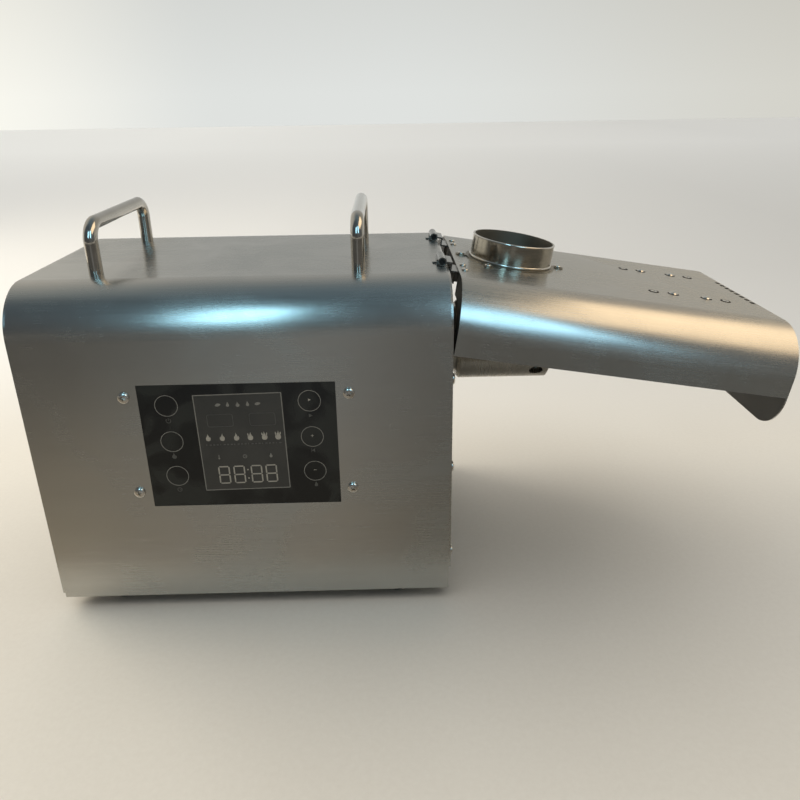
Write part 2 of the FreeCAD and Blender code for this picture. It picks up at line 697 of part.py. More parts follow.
def control_panel():
    """Touch panel, display, board, touch springs and screws behind the front cut-out."""
    obj = body("touch_panel")
    plate = sketch(obj, "XZ_Plane", "-inner_front")
    half_width = "window_width / 2"
    half_height = "window_height / 2"
    rectangle(plate, f"case_middle - {half_width} - glass_margin", f"case_middle + {half_width} + glass_margin",
              f"window_middle - {half_height} - 2", f"window_middle + {half_height} + 2")
    pad(obj, plate, "glass_plate", backwards=True)
    raised = sketch(obj, "XZ_Plane", "-inner_front")
    rectangle(raised, f"case_middle - {half_width} + sheet_gap", f"case_middle + {half_width} - sheet_gap",
              f"window_middle - {half_height} + sheet_gap", f"window_middle + {half_height} - sheet_gap")
    pad(obj, raised, "sheet - sheet_gap")
    holes = sketch(obj, "XZ_Plane", "half_depth")
    for across, up in panel_screw_spots():
        circle(holes, across, up, "screw_shank + run_gap")
    pocket(obj, holes, "sheet + glass_plate + 1")

    display = body("display_module")
    screen = sketch(display, "XZ_Plane", "-glass_back")
    rectangle(screen, "case_middle - display_width / 2", "case_middle + display_width / 2",
              "window_middle - display_height / 2", "window_middle + display_height / 2")
    pad(display, screen, "display_depth", backwards=True)

    board = body()
    plate = sketch(board, "XZ_Plane", "-display_back")
    rectangle(plate, f"case_middle - {half_width} + 4", f"case_middle + {half_width} - 4",
              f"window_middle - {half_height} + 4", f"window_middle + {half_height} - 4")
    pad(board, plate, "board_sheet", backwards=True)
    chips = sketch(board, "XZ_Plane", "-board_back")
    rectangle(chips, "case_middle - 12", "case_middle + 12", "window_middle - 8", "window_middle + 8")
    rectangle(chips, "case_middle + 30", "case_middle + 54", "window_middle - 40", "window_middle - 30")
    pad(board, chips, "5", backwards=True)

    springs = []
    for side in (-1, 1):
        for step in (-1, 0, 1):
            spot = (f"case_middle + {side} * touch_column", "glass_back", f"touch_middle + {step} * touch_pitch")
            springs.append(cut(rod(spot, "touch_radius", "display_depth", BACK),
                               [rod(spot, "touch_radius - 1", "display_depth", BACK)]))
    done(fuse([board] + springs), "control_board")
    screws = [screw((across, "-half_depth", up), FRONT, "screw_head", "screw_rise", "screw_shank", "sheet + 6")
              for across, up in panel_screw_spots()]
    done(group(screws), "panel_screws")


def end_screws():
    """Screws of both end panels."""
    screws = []
    for face, towards, spots in (("right_face + end_sheet", RIGHT, right_screw_spots()),
                                 ("left_face - end_sheet", LEFT, left_screw_spots())):
        screws += [screw((face, across, up), towards, "screw_head", "screw_rise", "screw_shank", "end_sheet + sheet + 3")
                   for across, up in spots]
    done(group(screws), "end_panel_screws")


def motor():
    """Motor: a drawn can, its rear cap, and a rotor shaft that runs through both."""
    front = "gear_back"
    axis = ("0", "motor_height")
    turned("motor_can", [
        ("-motor_length + motor_cap", "motor_radius - 3"), ("-motor_length + motor_cap", "motor_radius"),
        ("-1", "motor_radius"), ("0", "motor_radius - 1"), ("0", "15"), ("3", "15"), ("3", "motor_shaft + run_gap"),
        ("-motor_cap", "motor_shaft + run_gap"), ("-motor_cap", "motor_radius - 3"),
    ], (front, *axis))
    turned("motor_rear_cap", [
        ("-motor_length", "motor_shaft + run_gap"), ("-motor_length", "motor_radius - 8"),
        ("-motor_length + 5", "motor_radius"), ("-motor_length + motor_cap", "motor_radius"),
        ("-motor_length + motor_cap", "motor_shaft + run_gap"),
    ], (front, *axis))
    turned("motor_rotor", [
        ("-motor_length - 6", "0"), ("-motor_length - 6", "motor_shaft"), ("-motor_length + 14", "motor_shaft"),
        ("-motor_length + 14", "26"), ("-14", "26"), ("-14", "motor_shaft"),
        ("gear_wall + 18", "motor_shaft"), ("gear_wall + 18", "0"),
    ], (front, *axis))
    saddle = block(("gear_back - motor_length + 20", "-38", "floor_top"), ("motor_length - 40", "76", "motor_height - floor_top - 20"))
    bed = rod(("gear_back", *axis), "motor_radius", "motor_length", LEFT)
    hollow = block(("gear_back - motor_length", "-24", "floor_top + 4"), ("motor_length", "48", "8"))
    done(cut(saddle, [bed, hollow]), "motor_saddle")


def gear_profile(module, teeth, play):
    """Outline of an involute gear about the X axis, its first tooth centred on +Y."""
    pressure = math.radians(20)
    pitch = module * teeth / 2
    base = pitch * math.cos(pressure)
    tip = pitch + module * 0.95
    root = pitch - module * 1.25
    start = max(base, root)
    half = math.pi / (2 * teeth) - play / (4 * pitch)

    def flank_angle(radius):
        roll = math.sqrt(max((radius / base) ** 2 - 1, 0))
        spread = math.tan(pressure) - pressure
        return half + spread - (roll - math.atan(roll))

    def spot(radius, angle):
        return Vector(0, radius * math.cos(angle), radius * math.sin(angle))

    middle = (start + tip) / 2
    step = 2 * math.pi / teeth
    edges = []
    for tooth in range(teeth):
        turn = tooth * step
        low, mid, high = flank_angle(start), flank_angle(middle), flank_angle(tip)
        foot, crest = spot(start, turn - low), spot(tip, turn - high)
        far_crest, far_foot = spot(tip, turn + high), spot(start, turn + low)
        root_in, root_out = spot(root, turn - low), spot(root, turn + low)
        if start > root:
            edges.append(Part.LineSegment(root_in, foot))
        edges.append(Part.Arc(foot, spot(middle, turn - mid), crest))
        edges.append(Part.LineSegment(crest, far_crest))
        edges.append(Part.Arc(far_crest, spot(middle, turn + mid), far_foot))
        if start > root:
            edges.append(Part.LineSegment(far_foot, root_out))
        edges.append(Part.LineSegment(root_out, spot(root, turn + step - low)))
    return Part.Face(Part.Wire([edge.toShape() for edge in edges]))


def gear(label, module, teeth, face, bore, start, across, up, turn):
    """A spur gear as a solid with its bore, turned about its axis by an angle in degrees."""
    solid = gear_profile(module, int(round(teeth)), size("backlash")).extrude(Vector(face, 0, 0))
    if bore > 0:
        solid = solid.cut(Part.makeCylinder(bore, face, Vector(), RIGHT))
    obj = doc.addObject("Part::Feature", "Gear")
    obj.Shape = solid.removeSplitter()
    obj.Placement = Placement(Vector(start, across, up), Rotation(RIGHT, turn))
    return done(obj, label) if label else obj


def gear_train():
    """Two pairs of gears in mesh, with the layshaft, the output shaft and their bearings."""
    teeth, few = size("wheel_teeth"), size("pinion_teeth")
    room_front, room_back = size("gear_room_front"), size("gear_room_back")
    lay_y, lay_z = size("layshaft_offset"), size("lay_height")
    out_z, motor_z = size("axis_height"), size("motor_height")
    down_to_lay = math.degrees(math.atan2(lay_z - out_z, lay_y))
    lay_to_motor = math.degrees(math.atan2(motor_z - lay_z, -lay_y))
    coarse, fine = size("coarse_face"), size("fine_face")
    coarse_start = room_front - 10 - coarse
    fine_start = room_back + 6
    gear("output_wheel", size("coarse_module"), teeth, coarse, size("out_shaft"), coarse_start, 0, out_z, down_to_lay)
    lay_pinion = gear(None, size("coarse_module"), few, coarse + 4, 0, coarse_start - 2, lay_y, lay_z,
                      down_to_lay + 180 + 180 / few)
    gear("layshaft_wheel", size("fine_module"), teeth, fine, size("lay_shaft"), fine_start, lay_y, lay_z, lay_to_motor)
    gear("motor_pinion", size("fine_module"), few, fine + 4, size("motor_shaft"), fine_start - 2, 0, motor_z,
         lay_to_motor + 180 + 180 / few)

    axle = turned(None, [
        ("-gear_room - 4", "0"), ("-gear_room - 4", "lay_shaft"), ("4", "lay_shaft"), ("4", "0"),
    ], ("gear_room_front", "layshaft_offset", "lay_height"))
    done(fuse([axle, lay_pinion]), "layshaft")
    socket = "drive_shaft / 2"
    shaft = turned(None, [
        ("-gear_room - 4", "0"), ("-gear_room - 4", "out_shaft"), ("gear_wall", "out_shaft"),
        ("gear_wall", "drive_shaft"), ("gear_wall + nose_flange + shaft_reach", "drive_shaft"),
        ("gear_wall + nose_flange + shaft_reach", "0"),
    ], ("gear_room_front", "0", "axis_height"))
    square = block(("right_face + shaft_reach - tang_length", f"-{socket}", f"axis_height - {socket}"),
                   ("tang_length + 1", "drive_shaft", "drive_shaft"))
    done(cut(shaft, [square]), "output_shaft")

    for label, spot, inner, outer, width in (
            ("output_bearing_front", "gear_room_front - 6", "out_shaft", "21", "12"),
            ("output_bearing_rear", "gear_room_back - 4", "out_shaft", "17.5", "10")):
        turned(label, ring_profile(inner, outer, width), (spot, "0", "axis_height"))
    rings = [turned(None, ring_profile("lay_shaft", "14", "8"), (spot, "layshaft_offset", "lay_height"))
             for spot in ("gear_room_front - 4", "gear_room_back - 4")]
    done(group(rings), "layshaft_bearings")


def ring_profile(inner, outer, width):
    """A bearing's section, relieved between its rings on both faces."""
    near_in, near_out = f"{inner} + run_gap + 2.5", f"{outer} - 2.5"
    return [
        ("0", f"{inner} + run_gap"), ("0", near_in), ("0.8", near_in), ("0.8", near_out), ("0", near_out), ("0", outer),
        (width, outer), (width, near_out), (f"{width} - 0.8", near_out), (f"{width} - 0.8", near_in),
        (width, near_in), (width, f"{inner} + run_gap"),
    ]


def gearbox_screw_spots():
    """Centres of the gearbox screws, in the middle of its walls."""
    sides = [(across, up) for across in ("gear_near + gear_wall / 2", "gear_far - gear_wall / 2")
             for up in ("gear_low + 36", "gear_high - 36")]
    return sides + [("(gear_near + gear_far) / 2", "gear_high - gear_wall / 2")]


def gearbox():
    """Cast housing with bearing bosses, its rear plate, stand and screws."""
    obj = body("gearbox_housing")
    section = sketch(obj, "YZ_Plane", "gear_room_back")
    rectangle(section, "gear_near", "gear_far", "gear_low", "gear_high")
    pad(obj, section, "gear_room + gear_wall")
    rounded(obj, "gear_corner", lambda edge: runs_along(edge, RIGHT))
    back = size("gear_room_back")
    hollowed(obj, "gear_wall", lambda face: near(face.CenterOfMass.x, back))
    bosses = sketch(obj, "YZ_Plane", "gear_room_front - 6")
    circle(bosses, "0", "axis_height", "26")
    pad(obj, bosses, "7")
    small = sketch(obj, "YZ_Plane", "gear_room_front - 4")
    circle(small, "layshaft_offset", "lay_height", "18")
    pad(obj, small, "5")
    bores = sketch(obj, "YZ_Plane", "gear_front + 1")
    circle(bores, "0", "axis_height", "21 + run_gap")
    pocket(obj, bores, "gear_wall + 20")
    lay_bore = sketch(obj, "YZ_Plane", "gear_room_front + 4")
    circle(lay_bore, "layshaft_offset", "lay_height", "14 + run_gap")
    pocket(obj, lay_bore, "20")
    taps = sketch(obj, "YZ_Plane", "gear_room_back - 1")
    for across, up in gearbox_screw_spots():
        circle(taps, across, up, "small_shank + run_gap")
    pocket(obj, taps, "10", backwards=True)

    plate = body("gearbox_rear_plate")
    section = sketch(plate, "YZ_Plane", "gear_back")
    rectangle(section, "gear_near", "gear_far", "gear_low", "gear_high")
    pad(plate, section, "gear_wall")
    rounded(plate, "gear_corner", lambda edge: runs_along(edge, RIGHT))
    bosses = sketch(plate, "YZ_Plane", "gear_room_back - 1")
    circle(bosses, "0", "axis_height", "22")
    pad(plate, bosses, "7")
    small = sketch(plate, "YZ_Plane", "gear_room_back - 1")
    circle(small, "layshaft_offset", "lay_height", "18")
    pad(plate, small, "5")
    bores = sketch(plate, "YZ_Plane", "gear_room_back - 4")
    circle(bores, "0", "axis_height", "17.5 + run_gap")
    pocket(plate, bores, "20", backwards=True)
    lay_bore = sketch(plate, "YZ_Plane", "gear_room_back - 4")
    circle(lay_bore, "layshaft_offset", "lay_height", "14 + run_gap")
    pocket(plate, lay_bore, "20", backwards=True)
    register = sketch(plate, "YZ_Plane", "gear_room_back + 1")
    circle(register, "0", "motor_height", "15 + run_gap")
    pocket(plate, register, "gear_wall + 2")
    holes = sketch(plate, "YZ_Plane", "gear_room_back + 1")
    for across, up in gearbox_screw_spots():
        circle(holes, across, up, "small_shank + hole_play")
    pocket(plate, holes, "gear_wall + 2")

    post = "gear_low - floor_top"
    stand = block(("gear_back + 4", "gear_near + 14", "floor_top"), ("40", "gear_far - gear_near - 28", post))
    inside = block(("gear_back", "gear_near + 18", "floor_top + 3"), ("60", "gear_far - gear_near - 36", f"{post} - 6"))
    done(cut(stand, [inside]), "gearbox_stand")
    screws = [screw(("gear_back", across, up), LEFT, "small_head", "small_rise", "small_shank", "gear_wall + 8")
              for across, up in gearbox_screw_spots()]
    done(group(screws), "gearbox_screws")


def nose():
    """Flanged nose that carries the press, with its heaters and temperature probe."""
    flange = turned(None, [
        ("-nose_flange", "drive_shaft + run_gap"), ("-nose_flange", "nose_flange_radius"), ("0", "nose_flange_radius"),
        ("0", "nose_radius"), ("nose_reach", "nose_radius"), ("nose_reach", "spigot_radius"),
        ("nose_reach + spigot_length", "spigot_radius"), ("nose_reach + spigot_length", "drive_shaft + run_gap"),
    ], ("right_face", "0", "axis_height"))
    middle = "right_face - nose_flange / 2"
    low = "axis_height - heater_length / 2"
    holes = [rod((middle, f"{side} * heater_offset", low), "heater_radius + run_gap", "heater_length + 30", UP) for side in (-1, 1)]
    probe_hole = rod((middle, "0", "axis_height - nose_flange_radius - 1"), "2 + run_gap", "13", UP)
    done(cut(flange, holes + [probe_hole]), "nose_flange")
    heaters = []
    for side in (-1, 1):
        core = rod((middle, f"{side} * heater_offset", low), "heater_radius", "heater_length + 6", UP)
        heaters.append(core)
    done(group(heaters), "cartridge_heaters")
    probe = rod((middle, "0", "axis_height - nose_flange_radius - 10"), "2", "20", UP)
    grip = rod((middle, "0", "axis_height - nose_flange_radius - 9"), "4", "9", UP)
    done(fuse([probe, grip]), "temperature_probe")


def feed_housing():
    """Thick turned housing with a seed inlet on top, and a sunk screw low at the front that holds the cage."""
    edge = "housing_chamfer"
    blank = turned(None, [
        ("0", "spigot_radius + run_gap"), ("0", "housing_radius - 2.5"), ("2.5", "housing_radius"),
        (f"housing_length - 0.7 * {edge}", "housing_radius"), ("housing_length", f"housing_radius - {edge}"),
        ("housing_length", "cage_radius + run_gap"), ("housing_length - cage_seat", "cage_radius + run_gap"),
        ("housing_length - cage_seat", "bore_radius"), ("spigot_length", "bore_radius"),
        ("spigot_length", "spigot_radius + run_gap"),
    ], ("neck_end", "0", "axis_height"))
    rim = sketch(blank, "XY_Plane", "inlet_top - axis_height")
    circle(rim, "inlet_place", "0", "inlet_radius + inlet_wall")
    pad(blank, rim, "inlet_top - axis_height - sqrt(housing_radius ^ 2 - (inlet_radius + inlet_wall) ^ 2) + 2", backwards=True)
    throat = sketch(blank, "XY_Plane", "inlet_top - axis_height + 1")
    circle(throat, "inlet_place", "0", "inlet_radius")
    pocket(blank, throat, "inlet_top - axis_height + 1")

    angle = math.radians(size("lock_angle"))
    out = Vector(0, -math.sin(angle), -math.cos(angle))
    spot = ("housing_end - lock_place", "0", "axis_height")
    done(cut(blank, [rod(spot, "lock_radius", "housing_radius + 5", out)]), "feed_housing")
    grub = rod(spot, "lock_radius - run_gap", "housing_radius - 6", out)
    cage_room = rod(("housing_end - lock_place - 20", "0", "axis_height"), "cage_radius + run_gap", "40", RIGHT)
    hexagon = doc.addObject("Part::Prism", "Key")
    hexagon.Polygon = 6
    hexagon.setExpression("Circumradius", linked("lock_radius / 2"))
    hexagon.setExpression("Height", linked("housing_radius"))
    put(hexagon, spot, Rotation(UP, out))
    below_key = rod(spot, "lock_radius", "housing_radius - 9", out)
    done(cut(grub, [cage_room, cut(hexagon, [below_key])]), "cage_lock_screw")


def press_cage():
    """Turned cage whose wall is cut by rows of narrow oil slots all the way round."""
    cage = turned("press_cage", [
        ("0", "bore_radius"), ("0", "cage_radius"), ("cage_length - nozzle_lap", "cage_radius"),
        ("cage_length - nozzle_lap", "cage_radius - 1"), ("cage_length", "cage_radius - 1"), ("cage_length", "bore_radius"),
    ], ("cage_start", "0", "axis_height"))
    slot = sketch(cage, "XY_Plane")
    rectangle(slot, "cage_seat + slot_gap", "cage_seat + slot_gap + slot_length", "-slot_width / 2", "slot_width / 2")
    first = pocket(cage, slot, "cage_radius + 1", backwards=True)
    doc.recompute()
    axis = next(item for item in cage.Origin.OriginFeatures if item.Role == "X_Axis")
    rows = cage.newObject("PartDesign::LinearPattern", "Rows")
    rows.Direction = (axis, [""])
    rows.setExpression("Length", linked("(slot_rows - 1) * (slot_length + slot_gap)"))
    rows.setExpression("Occurrences", linked("slot_rows"))
    ring = cage.newObject("PartDesign::PolarPattern", "Ring")
    ring.Axis = (axis, [""])
    ring.Angle = 360
    ring.setExpression("Occurrences", linked("slot_count"))
    slots = cage.newObject("PartDesign::MultiTransform", "Slots")
    slots.Originals = [first]
    slots.Transformations = [rows, ring]
    cage.Tip = slots
    cuts.append((slots, first))


def cake_nozzle():
    """Cap on the cage's end; the cake leaves through the ring between it and the screw's tip."""
    turned("cake_nozzle", [
        ("-nozzle_lap", "cage_radius - 1 + run_gap"), ("-nozzle_lap", "nozzle_radius"),
        ("nozzle_length - nozzle_lap - 8", "nozzle_radius"), ("nozzle_length - nozzle_lap", "nozzle_radius - 6"),
        ("nozzle_length - nozzle_lap", "root_end - tip_taper + cake_gap"), ("0", "root_end + cake_gap"),
        ("0", "cage_radius - 1 + run_gap"),
    ], ("cage_end", "0", "axis_height"))


def press_screw():
    """Press screw: a root that thickens towards the cake end, a helical flight and a square tail."""
    shoulder = "(nose_reach + spigot_length + 0.5)"
    end = "(cage_end - right_face)"
    tip = f"{end} + nozzle_length - nozzle_lap"
    tail = "shaft_reach + screw_gap"
    obj = turned("press_screw", [
        (tail, "0"), (tail, "drive_shaft"), (shoulder, "drive_shaft"), (shoulder, "drive_shaft + 3"),
        (f"{shoulder} + 4", "drive_shaft + 3"), (f"{shoulder} + 4", "root_start"), (f"{end} - 12", "root_end"),
        (end, "root_end"), (tip, "root_end - tip_taper"), (tip, "0"),
    ], ("right_face", "0", "axis_height"))
    section = sketch(obj, "XY_Plane")
    start = f"({shoulder} + 3)"
    inner = "root_start - 3"
    outline(section, [
        (start, inner), (f"{start} + flight_foot", inner), (f"{start} + (flight_foot + flight_crest) / 2", "flight_radius"),
        (f"{start} + (flight_foot - flight_crest) / 2", "flight_radius"),
    ])
    flight = obj.newObject("PartDesign::AdditiveHelix", "Flight")
    flight.Profile = section
    flight.ReferenceAxis = (section, ["H_Axis"])
    flight.Mode = "pitch-height-angle"
    flight.setExpression("Pitch", linked("flight_pitch"))
    flight.setExpression("Height", linked(f"{end} - 2 - {start} - flight_foot"))
    tang = sketch(obj, "YZ_Plane", f"{tail} - tang_length")
    side = "(drive_shaft / 2 - 0.1)"
    rectangle(tang, f"-{side}", side, f"-{side}", side)
    pad(obj, tang, "tang_length + 1")


def hood():
    """Hood in its own frame: X along its slope from the casing face, Z out of its top."""
    obj = body("hood")
    section = sketch(obj, "YZ_Plane", "hood_start")
    rectangle(section, "-half_depth", "half_depth", "-hood_skirt", "0")
    pad(obj, section, "hood_end - hood_start")
    depth = size("half_depth")

    def top_edge(edge):
        middle = edge.CenterOfMass
        return runs_along(edge, RIGHT) and near(middle.z, 0) and near(abs(middle.y), depth)

    rounded(obj, "bend_radius", top_edge)
    start, skirt = size("hood_start"), size("hood_skirt")
    hollowed(obj, "sheet", lambda face: near(face.CenterOfMass.x, start) or near(face.CenterOfMass.z, -skirt))
    flap = sketch(obj, "YZ_Plane", "hood_end - sheet")
    rectangle(flap, "-half_depth", "half_depth", "-flap_drop", "-hood_skirt + 1")
    pad(obj, flap, "sheet")
    drop = size("flap_drop")

    def flap_corner(edge):
        middle = edge.CenterOfMass
        return runs_along(edge, RIGHT) and near(middle.z, -drop) and near(abs(middle.y), depth)

    rounded(obj, "flap_radius", flap_corner)
    feed = sketch(obj, "XY_Plane", "1")
    circle(feed, "collar_place", "0", "collar_radius - collar_wall - 0.5")
    pocket(obj, feed, "sheet + 2")
    dashes = sketch(obj, "XY_Plane", "1")
    for step in range(int(size("fold_dashes"))):
        low = f"({step} - (fold_dashes - 1) / 2) * fold_pitch - fold_dash / 2"
        rectangle(dashes, "hood_end - 5", "hood_end - 4", low, f"{low} + fold_dash")
    pocket(obj, dashes, "sheet + 2")
    holes = sketch(obj, "XY_Plane", "1")
    for along, across in collar_screw_spots() + hinge_screw_spots():
        circle(holes, along, across, "small_shank + hole_play")
    for along, across in rivet_spots("rivet_inner") + rivet_spots("rivet_outer"):
        circle(holes, along, across, "small_shank + run_gap")
    pocket(obj, holes, "sheet + 2")
    on_hood(obj)


def collar_screw_spots():
    """Centres of the collar's screws in the hood's frame."""
    return [(f"collar_place + collar_screw * cos({angle})", f"collar_screw * sin({angle})") for angle in (0, 124, 180, 236)]


def hinge_screw_spots():
    """Centres of the hinge screws in the hood's frame."""
    return [("hood_start + 5", f"{side} * hinge_offset + {step} * hinge_screw") for side in (-1, 1) for step in (-1, 1)]


def rivet_spots(place):
    """Centres of one set of stiffener rivets in the hood's frame."""
    return [(f"stiffener_place + {step} * {place}", f"{side} * rivet_row") for side in (-1, 1) for step in (-1, 1)]


def hood_fittings():
    """Collar, stiffener and every fastener that rides on the hood."""
    collar = turned(None, [
        ("0", "collar_radius - collar_wall"), ("0", "collar_flange"), ("1", "collar_flange"), ("1", "collar_radius"),
        ("collar_height", "collar_radius"), ("collar_height", "collar_radius - collar_wall"),
    ], ("collar_place", "0", "0"), UP)
    ears = [rod((along, across, "0"), "4.5", "1", UP) for along, across in collar_screw_spots()]
    holes = [rod((along, across, "-1"), "small_shank + hole_play", "3", UP) for along, across in collar_screw_spots()]
    bore = rod(("collar_place", "0", "-1"), "collar_radius - collar_wall", "3", UP)
    done(on_hood(cut(fuse([collar] + ears), holes + [bore])), "feed_collar")

    screws = [screw((along, across, "1"), UP, "small_head", "small_rise", "small_shank", "sheet + 4")
              for along, across in collar_screw_spots()]
    done(on_hood(group(screws)), "collar_screws")
    screws = [screw((along, across, "0"), UP, "small_head", "small_rise", "small_shank", "sheet + leaf + 2")
              for along, across in hinge_screw_spots()]
    done(on_hood(group(screws)), "hinge_screws")

    stiffener = body("hood_stiffener")
    section = sketch(stiffener, "YZ_Plane", "stiffener_place - stiffener_length / 2")
    brim, web, rise = "rivet_row + 7", "rivet_row - 9", "12"
    outline(section, [
        (f"-({brim})", "-sheet - leaf"), (f"-({brim})", "-sheet"), (f"-({web})", "-sheet"), (f"-({web})", f"-{rise} + leaf"),
        (web, f"-{rise} + leaf"), (web, "-sheet"), (brim, "-sheet"), (brim, "-sheet - leaf"),
        (f"{web} + leaf", "-sheet - leaf"), (f"{web} + leaf", f"-{rise}"), (f"-({web} + leaf)", f"-{rise}"),
        (f"-({web} + leaf)", "-sheet - leaf"),
    ])
    pad(stiffener, section, "stiffener_length")
    holes = sketch(stiffener, "XY_Plane", "0")
    for along, across in rivet_spots("rivet_inner") + rivet_spots("rivet_outer"):
        circle(holes, along, across, "small_shank + run_gap")
    pocket(stiffener, holes, "sheet + leaf + 1")
    on_hood(stiffener)
    domed = [screw((along, across, "0"), UP, "2.8", "1.4", "small_shank", "sheet + leaf + 1")
             for along, across in rivet_spots("rivet_inner")]
    flush = [screw((along, across, "0"), UP, "2.4", "0.4", "small_shank", "sheet + leaf + 1")
             for along, across in rivet_spots("rivet_outer")]
    done(on_hood(group(domed + flush)), "hood_rivets")


def hinge(label, side):
    """One hinge: a knuckle whose foot is welded inside the casing, and a cranked leaf on the hood; gives its pin."""
    middle = f"{side} * hinge_offset"
    low = f"{middle} - knuckle_width / 2"
    knuckle = rod(("pin_x", low, "pin_z"), "knuckle_radius", "knuckle_width", BACK)
    tab = block(("tab_left", low, "case_top - sheet - leaf"), ("leaf", "knuckle_width", "pin_z - case_top + sheet + leaf"))
    foot = block(("tab_left - 14", low, "case_top - sheet - leaf"), ("14", "knuckle_width", "leaf"))
    web = block(("tab_left", low, "pin_z - leaf / 2"), ("pin_x - tab_left", "knuckle_width", "leaf"))
    hole = rod(("pin_x", f"{low} - 1", "pin_z"), "pin_radius + run_gap", "knuckle_width + 2", BACK)
    done(cut(fuse([knuckle, tab, foot, web]), [hole]), f"{label}_fixed_leaf")

    width = "(knuckle_width + 2 * (ear_width + hinge_play))"
    leaf = body()
    section = sketch(leaf, "XZ_Plane", f"-({middle}) + {width} / 2")
    outline(section, [
        ("pin_u", "pin_w - leaf / 2"), ("hood_start - 6.5", "pin_w - leaf / 2"), ("hood_start - 6.5", "-sheet - leaf"),
        ("hood_start + 11", "-sheet - leaf"), ("hood_start + 11", "-sheet"), ("hood_start - 6.5 + leaf", "-sheet"),
        ("hood_start - 6.5 + leaf", "pin_w + leaf / 2"), ("pin_u", "pin_w + leaf / 2"),
    ])
    pad(leaf, section, width, backwards=True)
    knuckles = []
    for start in (f"{middle} - {width} / 2", f"{middle} + {width} / 2 - ear_width"):
        knuckles.append(rod(("pin_u", start, "pin_w"), "knuckle_radius", "ear_width", BACK))
    gap = block(("pin_u - knuckle_radius - 1", f"{low} - hinge_play", "pin_w - knuckle_radius - 1"),
                ("2 * knuckle_radius + 1.4", "knuckle_width + 2 * hinge_play", "2 * knuckle_radius + 2"))
    bore = rod(("pin_u", f"{middle} - {width}", "pin_w"), "pin_radius + run_gap", f"2 * {width}", BACK)
    holes = [rod((along, across, "-sheet - leaf - 1"), "small_shank + hole_play", "leaf + 2", UP)
             for along, across in hinge_screw_spots() if across.startswith(f"{side} ")]
    done(on_hood(cut(fuse([leaf] + knuckles), [gap, bore] + holes)), f"{label}_moving_leaf")

    pin = rod(("pin_x", f"{middle} - {width} / 2", "pin_z"), "pin_radius", width, BACK)
    cap = rod(("pin_x", f"{middle} - {width} / 2 - 1", "pin_z"), "pin_radius + 0.7", "1", BACK)
    return fuse([pin, cap])


def power_inlet():
    """Mains inlet: flange, box with an open socket, and three blades in it; gives its screws."""
    obj = body("power_inlet")
    flange = sketch(obj, "YZ_Plane", "left_face - end_sheet - inlet_flange")
    rectangle(flange, "inlet_y - 25", "inlet_y + 25", "inlet_z - 14", "inlet_z + 14")
    pad(obj, flange, "inlet_flange")
    rounded(obj, "6", lambda edge: runs_along(edge, RIGHT))
    shell = sketch(obj, "YZ_Plane", "left_face - end_sheet")
    rectangle(shell, "inlet_y - 13.8", "inlet_y + 13.8", "inlet_z - 10.3", "inlet_z + 10.3")
    pad(obj, shell, "20")
    cavity = sketch(obj, "YZ_Plane", "left_face - end_sheet - inlet_flange - 1")
    outline(cavity, [
        ("inlet_y - 12.1", "inlet_z - 8.1"), ("inlet_y + 12.1", "inlet_z - 8.1"), ("inlet_y + 12.1", "inlet_z + 3.5"),
        ("inlet_y + 7.5", "inlet_z + 8.1"), ("inlet_y - 7.5", "inlet_z + 8.1"), ("inlet_y - 12.1", "inlet_z + 3.5"),
    ])
    pocket(obj, cavity, "19", backwards=True)
    blades = sketch(obj, "YZ_Plane", "left_face - end_sheet - 1")
    for across, up in (("-7", "-0.6"), ("0", "3.2"), ("7", "-0.6")):
        rectangle(blades, f"inlet_y + {across} - 1", f"inlet_y + {across} + 1", f"inlet_z + {up} - 2", f"inlet_z + {up} + 2")
    pad(obj, blades, "17.5")
    holes = sketch(obj, "YZ_Plane", "left_face - end_sheet - inlet_flange - 1")
    for side in (-1, 1):
        circle(holes, f"inlet_y + {side} * 20", "inlet_z", "small_shank + hole_play")
    pocket(obj, holes, "4", backwards=True)
    return [screw(("left_face - end_sheet - inlet_flange", f"inlet_y + {side} * 20", "inlet_z"), LEFT,
                  "small_head", "small_rise", "small_shank", "9") for side in (-1, 1)]


